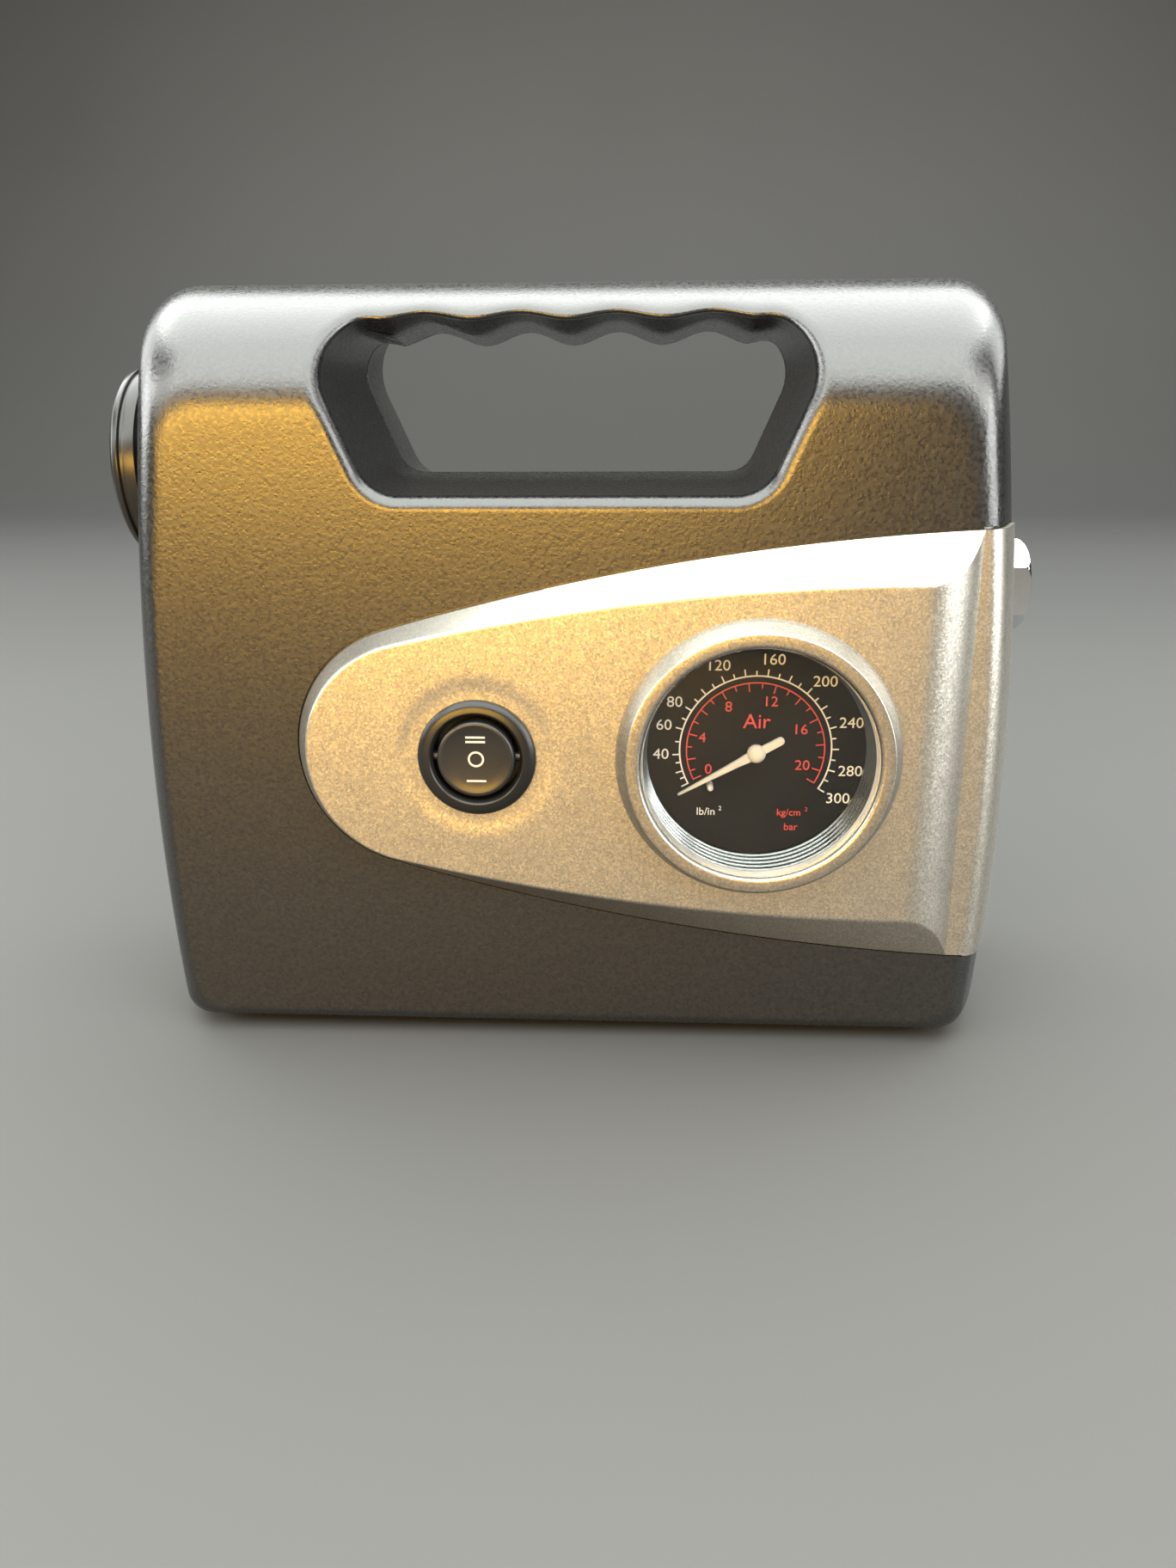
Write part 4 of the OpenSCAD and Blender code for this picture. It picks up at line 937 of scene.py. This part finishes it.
piece("gauge_ring", "silver", [
    (22.6, -33), (22.6, -41.8), (25.35, -41.8), (27.0, -38.3), (27.4, -37.0), (24.4, -37),
    (24.4, -33)], GAUGE, RING, segments=192, radii={1: 0.8, 2: 0.5, 3: 1.2})
piece("gauge_lens", "clear", [(0, -41.1), (22.5, -41.1), (22.5, -39.4), (0, -39.4)],
      GAUGE, segments=192, radii={1: 0.06}, sharp=40)
piece("lens_edge", "clear", [(22.5, -39.35), (22.35, -39.35), (22.0, -38.3), (22.5, -38.3)],
      GAUGE, LENS_EDGE, segments=192, sharp=25)
# the lens's own side wall, with its moulded steps, seen through the lens
wall = [(22.5, -38.25), (22.05, -38.25)]
for k in range(5):
    r, y = 22.0 - 0.15 * k, -38.1 + 1.66 * k
    wall += [(r, y), (r - 0.32, y + 0.2), (r - 0.30, y + 0.5), (r - 0.12, y + 1.5)]
piece("lens_wall", "clear", wall + [(21.2, -29.55), (22.5, -29.55)], GAUGE, LENS_WALL,
      segments=192, sharp=25)


def facing(mesh, at, y):
    """Stands a flat mesh up, facing forward, with its middle at depth y."""
    mesh.transform(Matrix.Translation((at[1] * MM, y * MM, at[2] * MM))
                   @ Matrix.Rotation(pi / 2, 4, "X"))
    return mesh


def words(body, size, x, z, ink, wide=1.0):
    """Lettering as a flat mesh, centred on (x, z) in millimetres."""
    text = bpy.data.curves.new("words", "FONT")
    text.body = body
    text.size = size * MM
    text.extrude = PRINT * MM
    text.resolution_u = 3
    text.align_x = text.align_y = "CENTER"
    mesh = plain_mesh(placed("words", text))
    mesh.materials.clear()
    mesh.materials.append(ink)
    mesh.transform(Matrix.Translation((x * MM, z * MM, 0)) @ Matrix.Diagonal((wide, 1, 1, 1)))
    return tidy(mesh)


def arc_band(r, half, start, end, ink):
    """A flat printed arc, angles in degrees."""
    angles = [radians(start + (end - start) * k / 120) for k in range(121)]
    line = [((r + half) * cos(a), (r + half) * sin(a)) for a in angles]
    line += [((r - half) * cos(a), (r - half) * sin(a)) for a in reversed(angles)]
    return prism(line, -PRINT, PRINT, flat, ink)


def dial():
    """Black card with two scales: pounds outside in white, bar inside in red."""
    card = [(1.4, DIAL_Y), (22.4, DIAL_Y), (22.4, -28.9), (1.4, -28.9)]
    piece("gauge_dial", "dial", card, GAUGE, segments=144, radii={1: 0.15})

    def ticks(angles, radius, short, long, width, ink):
        """Every other tick is long, the two at the ends too."""
        line = bpy.data.meshes.new("ticks")
        ends = (0, len(angles) - 1)
        line.from_pydata([(radians(a), (long if k % 2 == 0 or k in ends else short) * MM, 0)
                          for k, a in enumerate(angles)], [], [])
        return TICKS.bake(line, Radius=radius * MM, Width=width * MM,
                          Thick=2 * PRINT * MM, Finish=ink)

    pounds = [208.3, 202.7, 197.5, 190.4, 184.1, 174.3, 164.2]
    pounds += [156.4 - 8.18 * k for k in range(24)]
    bars = [207.2, 199.2, 189, 177.8] + [166.6 - 11.53 * k for k in range(17)] + [-29.5]
    marks = [
        ticks(pounds, 14.6, 1.05, 1.5, 0.25, WHITE_INK),
        ticks(bars, 13.45, -1.2, -1.8, 0.22, RED_INK),
        arc_band(14.68, 0.14, 208.8, -32.2, WHITE_INK),
        arc_band(13.35, 0.12, 207.6, -29.9, RED_INK)]
    for size, ink, numbers in (
            (3.0, WHITE_INK, (("40", -18.3, -1.1), ("60", -17.8, 4.8), ("80", -15.8, 9.4),
                              ("120", -7.6, 16.6), ("160", 2.8, 17.8), ("200", 12.8, 13.6),
                              ("240", 18.2, 5.5), ("280", 18.5, -4.2), ("300", 16.4, -9.8))),
            (2.85, RED_INK, (("0", -9.0, -4.1), ("4", -10.3, 2.3), ("8", -5.4, 8.5),
                             ("12", 2.6, 9.6), ("16", 8.5, 4.1), ("20", 9.2, -3.1)))):
        marks += [words(number, size, x, z, ink, wide=1.06) for number, x, z in numbers]
    marks += [words(*mark) for mark in (
        ("Air", 4.1, 0.1, 5.6, RED_INK), ("lb/in", 2.2, -9.3, -12.8, WHITE_INK),
        ("2", 1.3, -6.5, -12.1, WHITE_INK), ("kg/cm", 2.0, 7.0, -12.8, RED_INK),
        ("2", 1.2, 10.4, -12.1, RED_INK), ("bar", 2.1, 7.5, -15.8, RED_INK))]
    finished("dial_print", facing(joined(marks), GAUGE, DIAL_Y))


dial()


def needle():
    """Cream pointer with bevelled edges, a rounded tail and a domed boss."""
    tail = [(-5.2 - 0.78 * sin(radians(a)), 0.78 * cos(radians(a))) for a in (25, 50, 75)]
    outline = [(17.2, 0.08), (16.9, 0.20), (11, 0.42), (4, 0.70), (2.2, 0.88), (0, 0.88),
               (-2, 0.80), (-5.2, 0.78), *tail]
    outline += [(u, -v) for u, v in reversed(outline)]
    count = len(outline)
    points = []
    for y, inset in ((-31.8, 0.0), (-32.45, 0.0), (-32.6, 0.13)):
        for u, v in outline:
            end = 1 if u > 10 else -1 if u < -5 else 0
            points.append((u - inset * end, y, (1 if v > 0 else -1) * max(0.02, abs(v) - inset)))
    faces = [(k + i, k + (i + 1) % count, k + count + (i + 1) % count, k + count + i)
             for k in (0, count) for i in range(count)]
    faces += [tuple(range(count)), tuple(range(2 * count, 3 * count))]
    blade = from_mm(points, faces, FINISH["needle"])
    # the pointer's own line is turned to its rest angle, then set on the gauge
    blade.transform(Matrix.Translation((GAUGE_X * MM, 0, PANEL_Z * MM))
                    @ Matrix.Rotation(-radians(NEEDLE_ZERO), 4, "Y"))
    boss = turned([
        (0, -33.4), (0.8, -33.32), (1.35, -33.05), (1.68, -32.7), (1.8, -32.3), (1.8, -31.9),
        (1.4, -31.8), (1.4, -31.7), (0, -31.7)], GAUGE, FINISH["needle"], 48)
    finished("gauge_needle", joined([blade, boss]), "needle", sharp=28)


needle()
piece("needle_stop", "needle", [
    (0, -29.4), (0.6, -29.4), (0.6, -32.5), (0.42, -32.85), (0, -32.95)],
    ("y", GAUGE_X - 8.7, PANEL_Z - 7.0), segments=32, sharp=40)

# ---- switch

piece("switch_housing", "switch", [
    (0, -18), (0, -32.4), (8.45, -32.4), (8.45, -37.6), (8.85, -38.2), (9.15, -38.55),
    (10.4, -38.3), (11.3, -37.8), (11.5, -37.35), (11.5, -37), (9.95, -37), (9.95, -18)],
    SWITCH, FLANGE, segments=144, radii={3: 0.15, 5: 0.3, 6: 1.5, 7: 0.3}, sharp=30)


def flat_ring(outer, inner, half, ink, count=48):
    """A printed ring, as thick as twice half."""
    rows = [[(r * cos(2 * pi * k / count), r * sin(2 * pi * k / count), h) for k in range(count)]
            for r, h in ((outer, -half), (inner, -half), (inner, half), (outer, half))]
    return from_mm(*closed_grid(np.array(rows)), ink)


def rocker():
    """Round rocker with a dished face, a bright rolled rim and its printed marks."""
    body = turned([
        (0, -37.2), (6.6, -37.2), (6.6, -35.4), (7.5, -35.4), (7.55, -36.5), (7.55, -38.05),
        (7.4, -38.45), (7.05, -38.68), (6.7, -38.66), (6.2, -38.5), (4.5, -38.3), (2.2, -38.18),
        (0, -38.14)], SWITCH, GLOSS, 128)
    finished("switch_rocker", body, "rocker", sharp=45)
    marks = []
    for z in (4.4, 3.5, -4.35):
        bar = prism(oblong(1.9, 0.2, z), -0.1, 0.1, flat, CREAM)
        marks.append(facing(bar, SWITCH, -38.30))
    marks.append(facing(flat_ring(1.58, 1.18, 0.1, CREAM), SWITCH, -38.10))
    finished("rocker_marks", joined(marks), "rocker")


rocker()

# ---- lamp and outlet

piece("lamp_bezel", "case", [
    (16.2, -74), (17.3, -74), (17.3, -86), (19.4, -86), (19.4, -88.4), (18.75, -88.65),
    (18.75, -89.25), (19.4, -89.5), (19.2, -90.6), (18.3, -91.35), (17.0, -91.6), (15.7, -91.25),
    (15.4, -90.2), (16.2, -89.8)], LAMP, GLOSS, segments=160,
    radii={3: 0.2, 4: 0.3, 7: 0.3, 8: 0.5, 9: 0.5, 10: 0.6, 11: 0.4}, sharp=34)
piece("lamp_lens", "clear", [
    (0, -91.2), (5, -91.08), (9, -90.75), (12.5, -90.25), (15.2, -89.7), (16.1, -89.7),
    (16.1, -88.3), (14.6, -88.3), (12, -88.85), (8, -89.4), (4, -89.7), (0, -89.8)],
    LAMP, sharp=36)


def reflector(small=3.6, wide=14.6, deep=11.4):
    """Plated bowl: a parabola from the lamp's board to its rim."""
    bowl = []
    for k in range(15):
        r = small + (wide - small) * k / 14
        bowl.append((r, -76.6 - deep * (r ** 2 - small ** 2) / (wide ** 2 - small ** 2)))
    outer = [(r + 0.55, x + 0.35) for r, x in reversed(bowl)]
    piece("lamp_reflector", "mirror", bowl + [(16.1, -88.05), (16.1, -87.45)] + outer, LAMP,
          sharp=40)


reflector()


def outlet(half=8.5, start=90.4, end=97):
    """Chromed coupling: hexagon with a domed nose, a collar and two rings in its mouth."""
    body = turned([
        (4.28, 84.0), (6.2, 80), (6.2, 88.5), (10.1, 88.5), (10.2, 88.7), (10.2, 90.2),
        (10.0, 90.4), (9.75, 90.42), (9.9, 90.7), (9.9, 93.5), (9.6, 94.3), (9.0, 94.95),
        (8.2, 95.35), (7.2, 95.6), (5.0, 95.6), (4.5, 95.25), (4.28, 94.9)],
        OUTLET, FINISH["chrome"], 144, {13: 0.3})
    angles = [pi / 6 + k * pi / 3 for k in range(6)]
    corners = [(half / cos(pi / 6) * cos(a), half / cos(pi / 6) * sin(a)) for a in angles]
    block = prism(corners, start, end, lambda u, v, h: (h, OUTLET[1] + u, OUTLET[2] + v),
                  FINISH["chrome"])
    outside = cut(rod(OUTLET, start, end, 12, finish=FINISH["chrome"]), block)
    finished("outlet_fitting", cut(body, outside), sharp=28)


outlet()

# ---- feet, screws, lead bush

piece("cord_gland", "rubber", [
    (3.4, 32.6), (3.9, 32.6), (6.0, 32.6), (6.6, 32.0), (6.6, 31), (4.9, 31), (4.9, 28.3),
    (6.2, 28.3), (6.2, 26.6), (3.4, 26.6)], GLAND, segments=72,
    radii={2: 0.4, 3: 0.4, 7: 0.3, 8: 0.3})


def on_points(name, mesh, places, slot, sharp=32):
    """A piece made of copies of a mesh, in metres, on places in millimetres."""
    one = placed("one", mesh)
    spots = bpy.data.meshes.new("spots")
    spots.from_pydata((np.array(places, float) * MM).tolist(), [], [])
    copies = COPIES.bake(spots, Piece=one, Finish=FINISH[slot])
    bpy.data.objects.remove(one)
    finished(name, copies, sharp=sharp)


def case_screw():
    """Pan-head screw with a cross recess; its head's underside is at y 8."""
    body = turned([
        (0, -12), (0.6, -11.6), (1.1, -10), (1.45, -8.6), (1.45, 8), (3.05, 8), (3.05, 9.0),
        (2.7, 9.6), (2.0, 9.93), (0, 10.0)], ("y", 0, 0), FINISH["steel"], 32)
    for angle in (0, 90):
        arm = prism(oblong(1.6, 0.3), 8.9, 11, standing, FINISH["steel"])
        arm.transform(Matrix.Rotation(radians(angle), 4, "Y"))
        body = cut(body, arm)
    return body


foot = turned([
    (0, 0.5), (3.6, 0.5), (4.1, 0), (5.5, 0), (6.2, 0.5), (6.5, 1.1), (6.5, 3.3), (0, 3.3)],
    ("z", 0, 0), FINISH["rubber"], 56, {2: 0.2, 3: 0.3, 4: 0.4})
corners = [(x, y, 0) for x in (-64, 64) for y in (-18, 18)]
on_points("rubber_feet", foot, corners + [(0, 0, 0)], "rubber")
on_points("shell_screws", case_screw(), [(x, 0, z) for x, z in SCREWS], "steel", sharp=30)

# ---- floor, lights

def stage():
    """Pale paper that lies flat and curves up behind the object."""
    bend, rise = 1.1, 0.5
    profile = [(-2.2, 0.0), (bend, 0.0)]
    profile += [(bend + rise * sin(radians(a)), rise - rise * cos(radians(a)))
                for a in range(6, 91, 6)]
    profile.append((bend + rise, 2.6))
    mesh = bpy.data.meshes.new("studio_floor")
    mesh.from_pydata([(x, y, z) for y, z in profile for x in (-2.6, 2.6)], [],
                     [(i, i + 1, i + 3, i + 2) for i in range(0, 2 * len(profile) - 2, 2)])
    s = Shader("pale_paper", (0.049, 0.049, 0.048), 0.7)
    s.tone(s.noise(3, 3), 0.3, 0.7, (0.047, 0.047, 0.046), (0.051, 0.051, 0.050))
    mesh.materials.append(s.mat)
    mesh.shade_smooth()
    placed("studio_floor", mesh)


def lamp(name, place, target, wide, tall, power, color):
    data = bpy.data.lights.new(name, "AREA")
    data.energy = power
    data.color = color
    data.shape = "RECTANGLE"
    data.size, data.size_y = wide, tall
    made = placed(name, data)
    made.location = place
    made.rotation_euler = (Vector(place) - Vector(target)).to_track_quat("Z", "Y").to_euler()


stage()
GREENISH, WARM_WHITE, COOL_WHITE = (0.97, 1.0, 0.96), (1.0, 0.99, 0.95), (0.97, 0.99, 0.97)
lamp("front_softbox", (0.0, -0.735, 1.045), (0, -0.02, 0.12), 1.8, 0.93, 39, GREENISH)
lamp("top_softbox", (0.0, 0.28, 1.15), (0, 0.0, 0.12), 2.2, 1.3, 64, GREENISH)
lamp("warm_window", (-0.27, -1.02, 0.215), (-0.02, 0, 0.10), 0.81, 0.25, 13.4, (1.0, 0.55, 0.09))
lamp("right_softbox", (0.89, -0.62, 0.63), (0, 0, 0.12), 0.7, 0.4, 5.0, WARM_WHITE)
lamp("left_softbox", (-0.89, -0.62, 0.63), (0, 0, 0.12), 0.7, 0.4, 4.0, WARM_WHITE)
lamp("right_fill", (0.90, -0.50, 0.24), (0, 0, 0.09), 0.6, 0.5, 8.6, (0.98, 0.99, 0.97))
lamp("left_fill", (-1.0, -0.15, 0.40), (0, 0, 0.10), 0.6, 0.5, 9.0, COOL_WHITE)
lamp("back_left_softbox", (-1.12, 0.52, 0.82), (0, 0, 0.13), 0.8, 0.9, 9.0, COOL_WHITE)
lamp("back_right_softbox", (1.12, 0.52, 0.82), (0, 0, 0.13), 0.8, 0.9, 9.0, COOL_WHITE)
world = bpy.data.worlds.new("studio")
bpy.context.scene.world = world
world.use_nodes = True
sky = world.node_tree.nodes["Background"].inputs
sky["Color"].default_value = (0.78, 0.80, 0.82, 1)
sky["Strength"].default_value = 0.16
